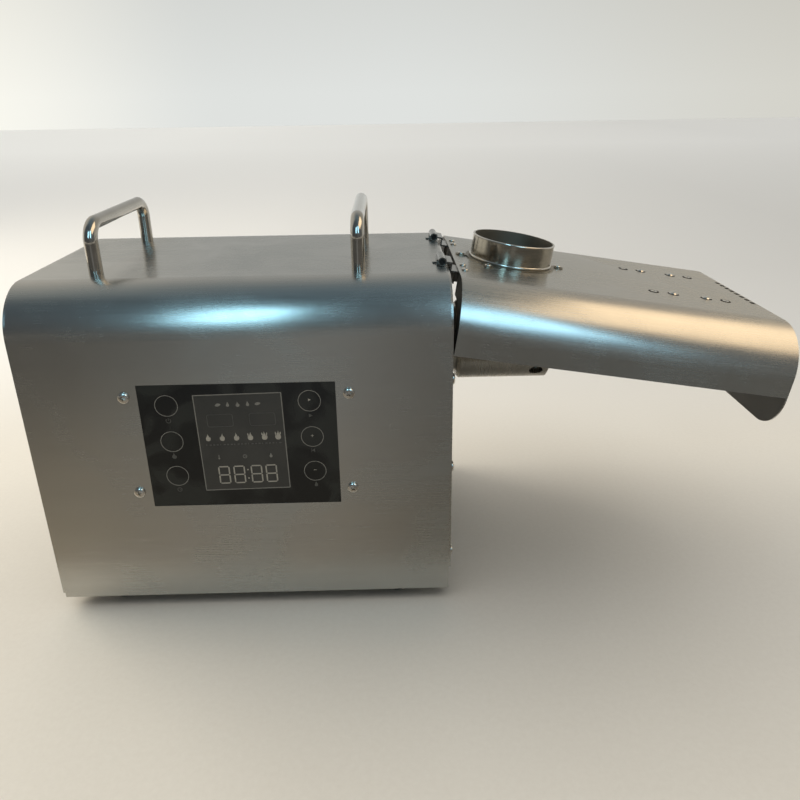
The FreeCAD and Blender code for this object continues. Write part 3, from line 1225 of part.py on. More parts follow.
def power_switch():
    """Rocker switch: a bezel with an open well, and a V-shaped key on a cross pin."""
    obj = body("switch_frame")
    half, tall = "switch_window / 2", "switch_rise / 2"
    bezel = sketch(obj, "YZ_Plane", "left_face - end_sheet - 1.6")
    rectangle(bezel, f"switch_y - {half} - 3.5", f"switch_y + {half} + 3.5", f"inlet_z - {tall} - 3.5", f"inlet_z + {tall} + 3.5")
    pad(obj, bezel, "1.6")
    rounded(obj, "1.5", lambda edge: runs_along(edge, RIGHT))
    well = sketch(obj, "YZ_Plane", "left_face - end_sheet")
    rectangle(well, f"switch_y - {half} - 1.3", f"switch_y + {half} + 1.3", f"inlet_z - {tall} - 1.3", f"inlet_z + {tall} + 1.3")
    pad(obj, well, "20")
    room = sketch(obj, "YZ_Plane", "left_face - end_sheet - 2")
    rectangle(room, f"switch_y - {half}", f"switch_y + {half}", f"inlet_z - {tall}", f"inlet_z + {tall}")
    pocket(obj, room, "19", backwards=True)
    axle = sketch(obj, "XZ_Plane", f"-switch_y + {half} + 1")
    circle(axle, "switch_x", "inlet_z", "pin_radius + run_gap")
    pocket(obj, axle, "switch_window + 2")
    key = body("switch_key")
    wing = "switch_rise / 2 - 1.4"
    profile = sketch(key, "XZ_Plane", f"-switch_y + {half} - 0.4")
    outline(profile, [
        ("-5.6", wing), ("-4.2", "0"), ("-5.6", f"-({wing})"), ("0", f"-({wing})"), ("4.5", "0"), ("0", wing),
    ])
    pad(key, profile, "switch_window - 0.8", backwards=True)
    ends = sketch(key, "XZ_Plane", f"-switch_y + {half} - 0.4 + 1.1")
    circle(ends, "0", "0", "pin_radius")
    pad(key, ends, "switch_window - 0.8 + 2.2", backwards=True)
    put(key, ("switch_x", "0", "inlet_z"), Rotation(Vector(0, 1, 0), -8))


def cooling_fan():
    """Axial fan behind the left vents: square frame, struts and a bladed rotor; gives its screws."""
    face = "left_face"
    half = "fan_size / 2"
    frame = body("fan_frame")
    section = sketch(frame, "YZ_Plane", face)
    rectangle(section, f"-{half}", half, f"fan_height - {half}", f"fan_height + {half}")
    pad(frame, section, "fan_depth")
    rounded(frame, "5", lambda edge: runs_along(edge, RIGHT))
    duct = sketch(frame, "YZ_Plane", f"{face} - 1")
    circle(duct, "0", "fan_height", f"{half} - 2")
    pocket(frame, duct, "fan_depth + 2", backwards=True)
    struts = sketch(frame, "YZ_Plane", f"{face} + fan_depth - 3")
    rectangle(struts, f"-{half} + 1", f"{half} - 1", "fan_height - 2", "fan_height + 2")
    pad(frame, struts, "3")
    upright = sketch(frame, "YZ_Plane", f"{face} + fan_depth - 3")
    rectangle(upright, "-2", "2", f"fan_height - {half} + 1", f"fan_height + {half} - 1")
    pad(frame, upright, "3")
    hub = sketch(frame, "YZ_Plane", f"{face} + fan_depth - 6")
    circle(hub, "0", "fan_height", "9")
    pad(frame, hub, "6")
    bearing = sketch(frame, "YZ_Plane", f"{face} + fan_depth - 8")
    circle(bearing, "0", "fan_height", "2 + run_gap")
    pocket(frame, bearing, "7", backwards=True)
    holes = sketch(frame, "YZ_Plane", f"{face} - 1")
    for side in (-1, 1):
        for rise in (-1, 1):
            circle(holes, f"{side} * fan_hole", f"fan_height + {rise} * fan_hole", "small_shank + hole_play")
    pocket(frame, holes, "fan_depth + 2", backwards=True)
    reach = size("fan_size") / 2 - 3.5
    hub_radius = 17
    depth = size("fan_depth") - 11
    rotor = Part.makeCylinder(hub_radius, depth, Vector(), RIGHT)
    ring = Part.makeCylinder(reach, depth, Vector(), RIGHT)
    blades = []
    for step in range(7):
        blade = Part.makeBox(depth + 6, 1.4, reach + 5, Vector(-depth / 2 - 3, -0.7, hub_radius - 4))
        blade.rotate(Vector(), Vector(0, 0, 1), 38)
        blade.translate(Vector(depth / 2, 0, 0))
        blade.rotate(Vector(), RIGHT, 360 / 7 * step)
        blades.append(blade.common(ring))
    axle = Part.makeCylinder(2, size("fan_depth") - 5, Vector(), RIGHT)
    rotor = rotor.fuse(blades + [axle]).removeSplitter()
    obj = doc.addObject("Part::Feature", "Rotor")
    obj.Shape = rotor
    obj.Placement = Placement(Vector(size("left_face") + 3, 0, size("fan_height")), Rotation())
    done(obj, "fan_rotor")
    return [screw(("left_face - end_sheet", f"{side} * fan_hole", f"fan_height + {rise} * fan_hole"), LEFT,
                  "small_head", "small_rise", "small_shank", "12") for side in (-1, 1) for rise in (-1, 1)]


def power_board():
    """Motor and heater supply: board on standoffs with its parts, and a finned heat sink."""
    left, low = "board_left", "-60"
    rise = "floor_top + stud_rise"
    plate = block((left, low, rise), ("70", "120", "board_sheet"))
    top = f"{rise} + board_sheet"
    choke = rod((f"{left} + 18", "-38", top), "13", "18", UP)
    reservoir = rod((f"{left} + 18", "36", top), "11", "32", UP)
    relay = block((f"{left} + 46", "-10", top), ("18", "28", "16"))
    filter_block = block((f"{left} + 8", "-14", top), ("24", "26", "15"))
    done(fuse([plate, choke, reservoir, relay, filter_block]), "power_board")
    sink = body("heat_sink")
    section = sketch(sink, "YZ_Plane", f"{left} + 40")
    corners = [("-54", top), ("-16", top)]
    for step in range(5):
        right = f"-16 - {step} * 8"
        corners += [(right, f"{top} + 26"), (f"{right} - 3", f"{top} + 26")]
        if step < 4:
            corners += [(f"{right} - 3", f"{top} + 4"), (f"{right} - 8", f"{top} + 4")]
    corners.append(("-54", f"{top} + 26"))
    outline(section, corners)
    pad(sink, section, "24")


casing_wrap()
base_plate()
left_end_panel()
right_end_panel()
end_screws()
feet()
handles()
control_panel()
motor()
gear_train()
gearbox()
nose()
feed_housing()
press_cage()
cake_nozzle()
press_screw()
hood()
hood_fittings()
done(group([hinge("front_hinge", -1), hinge("back_hinge", 1)]), "hinge_pins")
done(group(power_inlet() + cooling_fan()), "inlet_and_fan_screws")
power_switch()
power_board()
doc.recompute()

for obj in doc.Objects:
    if "Invalid" in obj.State or "Error" in obj.State:
        raise RuntimeError(f"{obj.Name} ({obj.Label}) failed: {obj.State}")
for feature, before in cuts:
    if feature.Shape.Volume > before.Shape.Volume - 0.01:
        raise RuntimeError(f"{feature.Name} cuts nothing")
labels = [part.Label for part in parts]
if len(set(labels)) != len(labels):
    raise RuntimeError("two sub-parts share a name")
os.makedirs("parts", exist_ok=True)
for part in parts:
    if part.Shape.isNull() or not part.Shape.isValid():
        raise RuntimeError(f"{part.Label} has no valid shape")
    part.Shape.exportStep(f"parts/{part.Label}.step")
print(len(parts), "sub-parts written")
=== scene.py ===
"""Looks of the screw-type oil press: brushed stainless casing and hood, black touch panel, real fasteners."""

import math

import bmesh
import bpy
from mathutils import Matrix, Vector


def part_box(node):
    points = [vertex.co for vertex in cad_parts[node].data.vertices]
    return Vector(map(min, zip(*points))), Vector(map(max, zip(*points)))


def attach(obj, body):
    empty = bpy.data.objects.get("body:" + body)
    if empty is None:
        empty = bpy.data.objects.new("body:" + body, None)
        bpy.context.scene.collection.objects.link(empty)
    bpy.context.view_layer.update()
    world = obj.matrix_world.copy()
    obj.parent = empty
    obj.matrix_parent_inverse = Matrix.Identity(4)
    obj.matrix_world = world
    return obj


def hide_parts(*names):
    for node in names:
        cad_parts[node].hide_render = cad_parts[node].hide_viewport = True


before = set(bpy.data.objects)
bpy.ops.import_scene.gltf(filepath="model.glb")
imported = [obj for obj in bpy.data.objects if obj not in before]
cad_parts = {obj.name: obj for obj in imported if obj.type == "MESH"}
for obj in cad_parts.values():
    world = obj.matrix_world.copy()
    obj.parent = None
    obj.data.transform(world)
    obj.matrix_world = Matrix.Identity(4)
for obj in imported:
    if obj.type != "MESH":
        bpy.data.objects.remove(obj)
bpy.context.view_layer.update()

MM = 0.001
HOOD_TILT = math.radians(9)
HOOD_UP = Vector((math.sin(HOOD_TILT), 0, math.cos(HOOD_TILT)))
HOOD_ALONG = Vector((math.cos(HOOD_TILT), 0, -math.sin(HOOD_TILT)))
FRONT, BACK = Vector((0, -1, 0)), Vector((0, 1, 0))
LEFT, RIGHT, UP = Vector((-1, 0, 0)), Vector((1, 0, 0)), Vector((0, 0, 1))
WRAP_LOW, WRAP_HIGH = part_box("casing_wrap")
CASE_MIDDLE = (WRAP_LOW.x + WRAP_HIGH.x) / 2
GLASS_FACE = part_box("touch_panel")[0].y
HOOD_INSIDE = (0.14, 0, 0.19)
COLLAR_INSIDE = tuple((low + high) / 2 for low, high in zip(*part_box("feed_collar")))


# Camera, at the photograph's viewing angle

CAMERA_PLACE = Vector((-0.013683, -0.569052, 0.373421))
YAW, PITCH, ROLL = 0.0151898, 0.384589, 0.0159215
LENS, SENSOR, SHIFT_UP = 32.013, 36.0, -0.025
NEAREST, FARTHEST = 0.01, 60


def make_camera():
    forward = Vector((math.sin(YAW) * math.cos(PITCH), math.cos(YAW) * math.cos(PITCH), -math.sin(PITCH)))
    across = Vector((math.cos(YAW), -math.sin(YAW), 0))
    down = forward.cross(across)
    right = across * math.cos(ROLL) + down * math.sin(ROLL)
    low = down * math.cos(ROLL) - across * math.sin(ROLL)
    data = bpy.data.cameras.new("camera")
    data.lens, data.sensor_width, data.shift_y = LENS, SENSOR, SHIFT_UP
    data.clip_start, data.clip_end = NEAREST, FARTHEST
    camera = bpy.data.objects.new("camera", data)
    turn = Matrix((right, -low, -forward)).transposed()
    camera.matrix_world = Matrix.Translation(CAMERA_PLACE) @ turn.to_4x4()
    bpy.context.scene.collection.objects.link(camera)
    bpy.context.scene.camera = camera


make_camera()


# Node trees

class Nodes:
    """A node tree, with short ways to add nodes to it. A colour is three numbers or a socket."""

    def __init__(self, tree):
        self.tree = tree

    def node(self, kind, inputs=(), **settings):
        made = self.tree.nodes.new("ShaderNode" + kind)
        for name, value in settings.items():
            setattr(made, name, value)
        for name, value in dict(inputs).items():
            if isinstance(value, bpy.types.NodeSocket):
                self.tree.links.new(value, made.inputs[name])
            else:
                made.inputs[name].default_value = value
        return made

    def spread(self, fac, low, high, start=0.3, end=0.7, **settings):
        """A number that goes from low to high as the factor goes from start to end."""
        sockets = {"Value": fac, "From Min": start, "From Max": end, "To Min": low, "To Max": high}
        return self.node("MapRange", sockets, **settings).outputs[0]

    def add(self, first, second, kind="ADD"):
        return self.node("Math", {0: first, 1: second}, operation=kind).outputs[0]

    def mix(self, fac, first, second, **settings):
        """A colour that goes from the first to the second as the factor goes from none to one."""
        ends = [(*colour, 1) if isinstance(colour, tuple) else colour for colour in (first, second)]
        return self.node("Mix", {0: fac, 6: ends[0], 7: ends[1]}, data_type="RGBA", **settings).outputs[2]

    def ramp(self, fac, stops, easing="LINEAR"):
        """A colour read from stops, each a place and a colour."""
        node = self.node("ValToRGB", {0: fac})
        node.color_ramp.interpolation = easing
        elements = node.color_ramp.elements
        while len(elements) < len(stops):
            elements.new(0.5)
        for element, (place, colour) in zip(elements, stops):
            element.position, element.color = place, (*colour, 1)
        return node.outputs[0]


class Paint(Nodes):
    """A material's node tree."""

    def __init__(self, name, **sockets):
        self.material = bpy.data.materials.new(name)
        self.material.use_nodes = True
        super().__init__(self.material.node_tree)
        self.shader = self.tree.nodes["Principled BSDF"]
        for socket, value in sockets.items():
            self.shader.inputs[socket.replace("_", " ")].default_value = value

    def place(self, scale, turn=(0, 0, 0)):
        """The object's own coordinates, turned and then stretched, by one number or by three."""
        if isinstance(scale, (int, float)):
            scale = (scale, scale, scale)
        own = self.node("TexCoord").outputs["Object"]
        turned = self.node("Mapping", {"Vector": own, "Rotation": turn}).outputs[0]
        return self.node("Mapping", {"Vector": turned, "Scale": scale}).outputs[0]

    def noise(self, scale, turn=(0, 0, 0), detail=3.0, roughness=0.55, distortion=0.0):
        sockets = {"Vector": self.place(scale, turn), "Scale": 1.0, "Detail": detail,
                   "Roughness": roughness, "Distortion": distortion}
        return self.node("TexNoise", sockets).outputs["Fac"]

    def bump(self, height, strength, distance):
        return self.node("Bump", {"Height": height, "Strength": strength, "Distance": distance}).outputs[0]

    def inward(self, inside):
        """One on the faces that look towards a point, none on the others."""
        own = self.node("TexCoord").outputs
        outward = self.node("VectorMath", {0: own["Object"], 1: inside}, operation="SUBTRACT").outputs[0]
        facing = self.node("VectorMath", {0: own["Normal"], 1: outward}, operation="DOT_PRODUCT")
        return self.spread(facing.outputs["Value"], 1, 0, -0.002, 0.002)

    def matt_and_shaded_inside(self, inside, colour, roughness, tone, rougher=0.3):
        """The colour and the roughness, with the faces that look towards a point left matt and in a darker
        tone: painted shade on the inner faces.
        """
        inner = self.inward(inside)
        return self.mix(inner, colour, tone), self.add(roughness, self.add(inner, rougher, "MULTIPLY"))

    def finish(self, **sockets):
        for name, value in sockets.items():
            self.tree.links.new(value, self.shader.inputs[name.replace("_", " ")])
        return self.material


# Materials. A noise's scale is in cells for each metre, and a bump's depth is in metres.

def scaled(colour, by):
    return tuple(min(1.0, channel * by) for channel in colour)


def drawn_out(axis, along, across):
    """A noise's scale that differs along one axis."""
    scale = [across] * 3
    scale[axis] = along
    return scale


def brushed(name, tone, grain, rough=0.25, pull=0.8, contrast=0.07, tilt=0.0, inside=None):
    """Brushed sheet whose grain runs along one axis: hairlines, broad streaks and faint handling marks.

    Faces that look towards the inside point are made rougher and darkened to 0.3 of the tone: painted shade
    on the inner side of the sheet.
    """
    paint = Paint(name, Metallic=1.0, Anisotropic=pull, Anisotropic_Rotation=0.25)
    turn = (0, tilt, 0)
    hair = paint.noise(drawn_out(grain, 22.0, 1900.0), turn, detail=2.0)
    streak = paint.noise(drawn_out(grain, 5.0, 210.0), turn, detail=5.0, roughness=0.6)
    smudge = paint.noise(14.0, turn, detail=5.0, roughness=0.62, distortion=0.7)
    lines = paint.add(paint.spread(hair, 0, 0.5), paint.spread(streak, 0, 0.5, 0.2, 0.8))
    colour = paint.mix(lines, scaled(tone, 1 - contrast), scaled(tone, 1 + contrast))
    roughness = paint.add(paint.spread(smudge, rough - 0.03, rough + 0.05), paint.spread(hair, -0.02, 0.02))
    axis = Matrix.Rotation(tilt, 3, "Y").col[grain]
    tangent = paint.node("CombineXYZ", dict(enumerate(axis))).outputs[0]
    world = paint.node("VectorTransform", {0: tangent}, vector_type="VECTOR",
                       convert_from="OBJECT", convert_to="WORLD").outputs[0]
    if inside:
        # Painted shade: the inner faces are darkened to 0.3 of the tone and made rougher.
        colour, roughness = paint.matt_and_shaded_inside(inside, colour, roughness, scaled(tone, 0.3))
    return paint.finish(Base_Color=colour, Roughness=roughness, Normal=paint.bump(hair, 0.08, 0.00002),
                        Tangent=world)


def polished(name, tone, rough=0.12, scale=60.0, contrast=0.08, inside=None):
    """Polished metal with a faint uneven lustre. Faces that look towards the inside point are left matt and
    darkened: painted shade inside.
    """
    paint = Paint(name, Metallic=1.0)
    cloud = paint.noise(scale, detail=4.0, roughness=0.6)
    scratch = paint.noise((900, 70, 70), (0.3, 0.5, 0.2), detail=2.0)
    colour = paint.mix(paint.spread(cloud, 0, 1), scaled(tone, 1 - contrast), scaled(tone, 1 + contrast))
    roughness = paint.add(paint.spread(cloud, rough - 0.03, rough + 0.05), paint.spread(scratch, -0.01, 0.03))
    if inside:
        # The inner faces are left matt, and darkened to 0.75 of the tone as painted shade.
        colour, roughness = paint.matt_and_shaded_inside(inside, colour, roughness, scaled(tone, 0.75))
    return paint.finish(Base_Color=colour, Roughness=roughness, Normal=paint.bump(scratch, 0.08, 0.00002))


def machined(name, tone, rough=0.28, axis=0, step=1600.0, contrast=0.12):
    """Turned metal: fine tool rings round one axis, oil-dark in places."""
    paint = Paint(name, Metallic=1.0)
    ring = paint.noise(drawn_out(axis, step, 18.0), detail=2.0)
    stain = paint.noise(45.0, detail=5.0, roughness=0.65)
    mixed = paint.add(paint.spread(ring, 0, 0.4), paint.spread(stain, 0, 0.6))
    colour = paint.mix(mixed, scaled(tone, 1 - contrast), scaled(tone, 1 + contrast))
    roughness = paint.add(paint.spread(stain, rough + 0.05, rough - 0.04), paint.spread(ring, -0.03, 0.03))
    return paint.finish(Base_Color=colour, Roughness=roughness, Normal=paint.bump(ring, 0.25, 0.00004))


def cast(name, tone):
    """Sand-cast metal: coarse skin and blotches."""
    paint = Paint(name, Metallic=0.85)
    skin = paint.noise(520.0, detail=4.0, roughness=0.7)
    blotch = paint.noise(38.0, detail=4.0)
    colour = paint.mix(paint.spread(blotch, 0, 1), scaled(tone, 0.82), scaled(tone, 1.12))
    return paint.finish(Base_Color=colour, Roughness=paint.spread(skin, 0.42, 0.6),
                        Normal=paint.bump(skin, 0.5, 0.0003))


def moulded(name, tone, rough=0.4, grain=900.0, depth=0.00005, metallic=0.0):
    """Moulded plastic or painted metal: fine sparkle of texture and slight unevenness."""
    paint = Paint(name, Metallic=metallic)
    skin = paint.noise(grain, detail=3.0, roughness=0.6)
    cloud = paint.noise(26.0, detail=3.0)
    colour = paint.mix(paint.spread(cloud, 0, 1), scaled(tone, 0.85), scaled(tone, 1.2))
    roughness = paint.add(paint.spread(skin, rough - 0.05, rough + 0.05), paint.spread(cloud, -0.04, 0.04))
    return paint.finish(Base_Color=colour, Roughness=roughness, Normal=paint.bump(skin, 0.35, depth))


def rubber_paint():
    """Moulded rubber with dust on it."""
    paint = Paint("rubber_moulded", Specular_IOR_Level=0.35)
    skin = paint.noise(1400.0, detail=3.0)
    dust = paint.noise((150, 150, 60), detail=5.0, roughness=0.7)
    colour = paint.mix(paint.spread(dust, 0, 1, 0.45, 0.75), (0.012, 0.012, 0.013), (0.06, 0.055, 0.05))
    return paint.finish(Base_Color=colour, Roughness=paint.spread(skin, 0.6, 0.8),
                        Normal=paint.bump(skin, 0.4, 0.00006))


def glass_paint():
    """Black acrylic front: deep gloss with fingerprints and a very faint haze. The haze also mottles the
    colour: painted reflection.
    """
    paint = Paint("panel_gloss", IOR=1.47, Coat_Weight=0.15, Coat_Roughness=0.04)
    prints = paint.noise(70.0, detail=6.0, roughness=0.7, distortion=1.2)
    haze = paint.noise(24.0, detail=2.0, roughness=0.4, distortion=1.6)
    # Painted reflection: the haze's mottle in the colour stands in for mottled reflections; in the roughness
    # it is haze.
    colour = paint.mix(paint.spread(haze, 0, 1, 0.42, 0.58), (0.003, 0.004, 0.004), (0.019, 0.022, 0.02))
    roughness = paint.add(paint.spread(prints, 0.03, 0.12, 0.45, 0.75), paint.spread(haze, 0, 0.03))
    return paint.finish(Base_Color=colour, Roughness=roughness)


def screen_paint():
    """Unlit display window: grey-black film under the gloss."""
    paint = Paint("screen_film", IOR=1.49, Coat_Weight=0.4, Coat_Roughness=0.05)
    haze = paint.noise(22.0, detail=4.0, distortion=0.8)
    colour = paint.mix(paint.spread(haze, 0, 1), (0.03, 0.032, 0.03), (0.05, 0.051, 0.047))
    return paint.finish(Base_Color=colour, Roughness=paint.spread(haze, 0.1, 0.2))


def ink(name, tone, rough=0.45, gloss=0.5):
    """Screen-printed ink, slightly uneven."""
    paint = Paint(name, Specular_IOR_Level=gloss)
    grain = paint.noise(1500.0, detail=2.0)
    colour = paint.mix(paint.spread(grain, 0, 1), scaled(tone, 0.8), scaled(tone, 1.15))
    return paint.finish(Base_Color=colour, Roughness=paint.spread(grain, rough - 0.05, rough + 0.1))


def board_paint():
    """Solder-masked circuit board: copper tracks under green lacquer."""
    paint = Paint("board_lacquer", Coat_Weight=0.4, Coat_Roughness=0.2)
    cells = paint.node("TexVoronoi", {"Vector": paint.place(160.0), "Scale": 1.0, "Randomness": 0.35},
                       feature="DISTANCE_TO_EDGE").outputs["Distance"]
    track = paint.spread(cells, 1, 0, 0.03, 0.06)
    wear = paint.noise(60.0, detail=3.0)
    mixed = paint.add(paint.add(track, 0.7, "MULTIPLY"), paint.spread(wear, 0, 0.3))
    colour = paint.mix(mixed, (0.006, 0.06, 0.022), (0.03, 0.17, 0.06))
    return paint.finish(Base_Color=colour, Roughness=paint.spread(wear, 0.35, 0.5),
                        Normal=paint.bump(track, 0.3, 0.00005))


def parts_paint():
    """Board with its parts: lacquer low down, grey and black bodies above."""
    paint = Paint("board_components")
    voronoi = {"Vector": paint.place((55, 55, 1)), "Scale": 1.0, "Randomness": 0.8}
    cells = paint.node("TexVoronoi", voronoi).outputs["Color"]
    height = paint.node("SeparateXYZ", {0: paint.place(1)}).outputs[2]
    above = paint.spread(height, 0, 1, 0.0216, 0.0222)
    body = paint.mix(0.9, cells, (0.035, 0.035, 0.04))
    skin = paint.noise(700.0)
    green = paint.mix(paint.spread(skin, 0, 1), (0.008, 0.07, 0.025), (0.015, 0.11, 0.04))
    return paint.finish(Base_Color=paint.mix(above, green, body), Roughness=paint.spread(skin, 0.35, 0.5),
                        Normal=paint.bump(skin, 0.2, 0.00005))


def laminated_paint():
    """Stacked steel laminations round the motor axis."""
    paint = Paint("steel_laminations", Metallic=0.9)
    wave = paint.node("TexWave", {"Vector": paint.place(1), "Scale": 320.0, "Distortion": 0.3},
                      bands_direction="X").outputs["Fac"]
    stain = paint.noise(60.0, detail=4.0)
    colour = paint.mix(paint.spread(stain, 0, 1), (0.13, 0.12, 0.115), (0.3, 0.28, 0.26))
    return paint.finish(Base_Color=colour, Roughness=paint.spread(stain, 0.35, 0.5),
                        Normal=paint.bump(wave, 0.5, 0.0001))


STAINLESS = (0.5, 0.485, 0.45)
MATERIALS = {
    "wrap": brushed("steel_wrap", STAINLESS, grain=0),
    "end": brushed("steel_end", STAINLESS, grain=1),
    "hood": brushed("steel_hood", STAINLESS, grain=0, tilt=-HOOD_TILT, inside=HOOD_INSIDE),
    "bracket": brushed("steel_bracket", scaled(STAINLESS, 0.42), grain=1),
    "base": brushed("zinc_sheet", (0.5, 0.51, 0.52), grain=0, rough=0.32, pull=0.3),
    # Painted shade: steel darkened to 0.3 of the tone, for the hood's end lips, which sit in shade.
    "lip_shade": brushed("steel_painted_shade", scaled(STAINLESS, 0.3), grain=1, rough=0.5, pull=0.3),
    # The collar's warm tone is a painted reflection of the warm room on its left.
    "collar": polished("steel_spun", (0.4, 0.365, 0.3), rough=0.15, scale=(40, 40, 500),
                       inside=COLLAR_INSIDE),
    "rod": polished("steel_rod", (0.47, 0.45, 0.41), rough=0.12),
    "bright": polished("steel_bright", (0.66, 0.63, 0.58), rough=0.18, scale=300.0),
    "black": moulded("steel_blackened", (0.012, 0.012, 0.012), rough=0.45, metallic=0.5),
    "zinc": polished("zinc_plate", (0.52, 0.52, 0.53), rough=0.3, scale=250.0),
    "turned": machined("steel_turned", (0.28, 0.268, 0.24)),
    "gear": machined("steel_gear", (0.34, 0.33, 0.31), rough=0.24),
    "cast": cast("aluminium_cast", (0.42, 0.42, 0.41)),
    "sink": machined("aluminium_sink", (0.55, 0.55, 0.56), axis=2, step=900.0),
    "can": moulded("paint_black", (0.02, 0.02, 0.022), rough=0.32, grain=500.0, depth=0.0001),
    "plastic": moulded("plastic_black", (0.016, 0.016, 0.017), rough=0.42),
    "rubber": rubber_paint(),
    "glass": glass_paint(),
    "screen": screen_paint(),
    "board": board_paint(),
    "parts": parts_paint(),
    "laminated": laminated_paint(),
    "print": ink("ink_grey", (0.23, 0.225, 0.205)),
    "faint": ink("ink_faint", (0.09, 0.09, 0.083)),
    "lit": ink("ink_light", (0.42, 0.4, 0.35)),
    # Painted shade: a dark matt film for the shade round the rivet heads and in the fold slits. It also makes
    # the hinge caps black.
    "painted_shade_and_black": ink("painted_shade_and_black", (0.02, 0.018, 0.016), rough=0.8, gloss=0.0),
}

NODE_FINISH = {
    "wrap": ["casing_wrap"],
    "end": ["left_end_panel", "right_end_panel"],
    "hood": ["hood", "hood_stiffener"],
    "bracket": ["front_hinge_fixed_leaf", "back_hinge_fixed_leaf", "front_hinge_moving_leaf",
                "back_hinge_moving_leaf"],
    "base": ["base_plate", "gearbox_stand", "motor_saddle"],
    "collar": ["feed_collar"],
    "rod": ["handle_left", "handle_right"],
    "bright": ["panel_screws", "end_panel_screws", "collar_screws", "hinge_screws", "hood_rivets",
               "inlet_and_fan_screws", "cage_lock_screw"],
    "black": ["hinge_pins"],
    "zinc": ["foot_screws", "handle_screws", "gearbox_screws"],
    "turned": ["nose_flange", "feed_housing", "press_cage", "cake_nozzle", "press_screw", "cartridge_heaters",
               "temperature_probe"],
    "gear": ["layshaft", "layshaft_wheel", "motor_pinion", "output_wheel", "output_shaft",
             "output_bearing_front", "output_bearing_rear", "layshaft_bearings"],
    "cast": ["gearbox_housing", "gearbox_rear_plate", "motor_rear_cap"],
    "sink": ["heat_sink"],
    "can": ["motor_can"],
    "plastic": ["fan_frame", "fan_rotor", "power_inlet", "switch_frame", "switch_key"],
    "rubber": [f"foot_{side}_{end}" for side in ("left", "right") for end in ("front", "back")],
    "glass": ["touch_panel"],
    "screen": ["display_module"],
    "board": ["control_board"],
    "parts": ["power_board"],
    "laminated": ["motor_rotor"],
}
for finish, names in NODE_FINISH.items():
    for name in names:
        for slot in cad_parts[name].material_slots:
            slot.material = MATERIALS[finish]


# Meshes

SHARP_FROM = math.radians(35)
ON_AXIS = 1e-9


def mesh_of(name, bm):
    """The mesh of a finished bmesh, its faces turned outwards."""
    mesh = bpy.data.meshes.new(name)
    bmesh.ops.recalc_face_normals(bm, faces=bm.faces)
    bm.to_mesh(mesh)
    bm.free()
    return mesh


def linked(name, data):
    obj = bpy.data.objects.new(name, data)
    bpy.context.scene.collection.objects.link(obj)
    return obj


def piece(name, bm, finish, body, smooth=True):
    """An object from a finished bmesh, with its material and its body."""
    mesh = mesh_of(name, bm)
    mesh.materials.append(MATERIALS[finish])
    if smooth:
        mesh.shade_smooth()
        mesh.set_sharp_from_angle(angle=SHARP_FROM)
    obj = linked(name, mesh)
    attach(obj, body)
    return obj


def ring_of(radius, count):
    """Pairs of coordinates on a circle round the origin."""
    angles = [math.tau * k / count for k in range(count)]
    return [(radius * math.cos(angle), radius * math.sin(angle)) for angle in angles]


def revolved(bm, profile, segments=36):
    """A closed turned solid round Z from (radius, height) pairs that start and end on the axis."""
    rings = []
    for radius, height in profile:
        if radius < ON_AXIS:
            rings.append([bm.verts.new((0, 0, height))])
        else:
            rings.append([bm.verts.new((x, y, height)) for x, y in ring_of(radius, segments)])
    for low, high in zip(rings, rings[1:]):
        for k in range(segments):
            after = k + 1
            corners = [low[k % len(low)], low[after % len(low)], high[after % len(high)], high[k % len(high)]]
            corners = list(dict.fromkeys(corners))
            if len(corners) > 2:
                bm.faces.new(corners)


def frustum(bm, half_low, half_high, low, high):
    """A tapered bar: half sizes along X and Y at the bottom and at the top."""
    verts = [bm.verts.new((x * half[0], y * half[1], z)) for half, z in ((half_low, low), (half_high, high))
             for x, y in ((-1, -1), (1, -1), (1, 1), (-1, 1))]
    for corners in ((3, 2, 1, 0), (4, 5, 6, 7), (0, 1, 5, 4), (1, 2, 6, 5), (2, 3, 7, 6), (3, 0, 4, 7)):
        bm.faces.new([verts[k] for k in corners])


def carved(base, tools):
    """The mesh of one temporary object less the others."""
    for tool in tools:
        cutting = base.modifiers.new("carve", "BOOLEAN")
        cutting.operation, cutting.solver, cutting.object = "DIFFERENCE", "EXACT", tool
    shape = base.evaluated_get(bpy.context.evaluated_depsgraph_get())
    mesh = bpy.data.meshes.new_from_object(shape)
    for obj in [base] + tools:
        data = obj.data
        bpy.data.objects.remove(obj)
        bpy.data.meshes.remove(data)
    return mesh


# Fasteners

M4_SCREW = (4 * MM, 2.2 * MM, 2 * MM)
M3_SCREW = (2.6 * MM, 1.6 * MM, 1.5 * MM)
POINT_CHAMFER = 0.4 * MM
RECESS_LONG, RECESS_THIN = (0.45, 0.52), (0.7, 0.13)
FASTENER_SPACING = 9 * MM
FIRST_TURN, NEXT_TURN, SIDE_TURN = 0.35, 1.1, 0.5

DOMED_FROM, RIVET_SHANK, RIVET_DIMPLE = 2.6 * MM, 1.5 * MM, 0.9 * MM
# The third number of each is the width of the dark ring of painted shade round the head.
DOMED, FLUSH = (1.4 * MM, 1.2, 1.1 * MM), (0.4 * MM, 1.5, 0.5 * MM)
# Height of the rings of painted shade round the rivet heads.
SHADE_RING_HEIGHT = 0.3 * MM


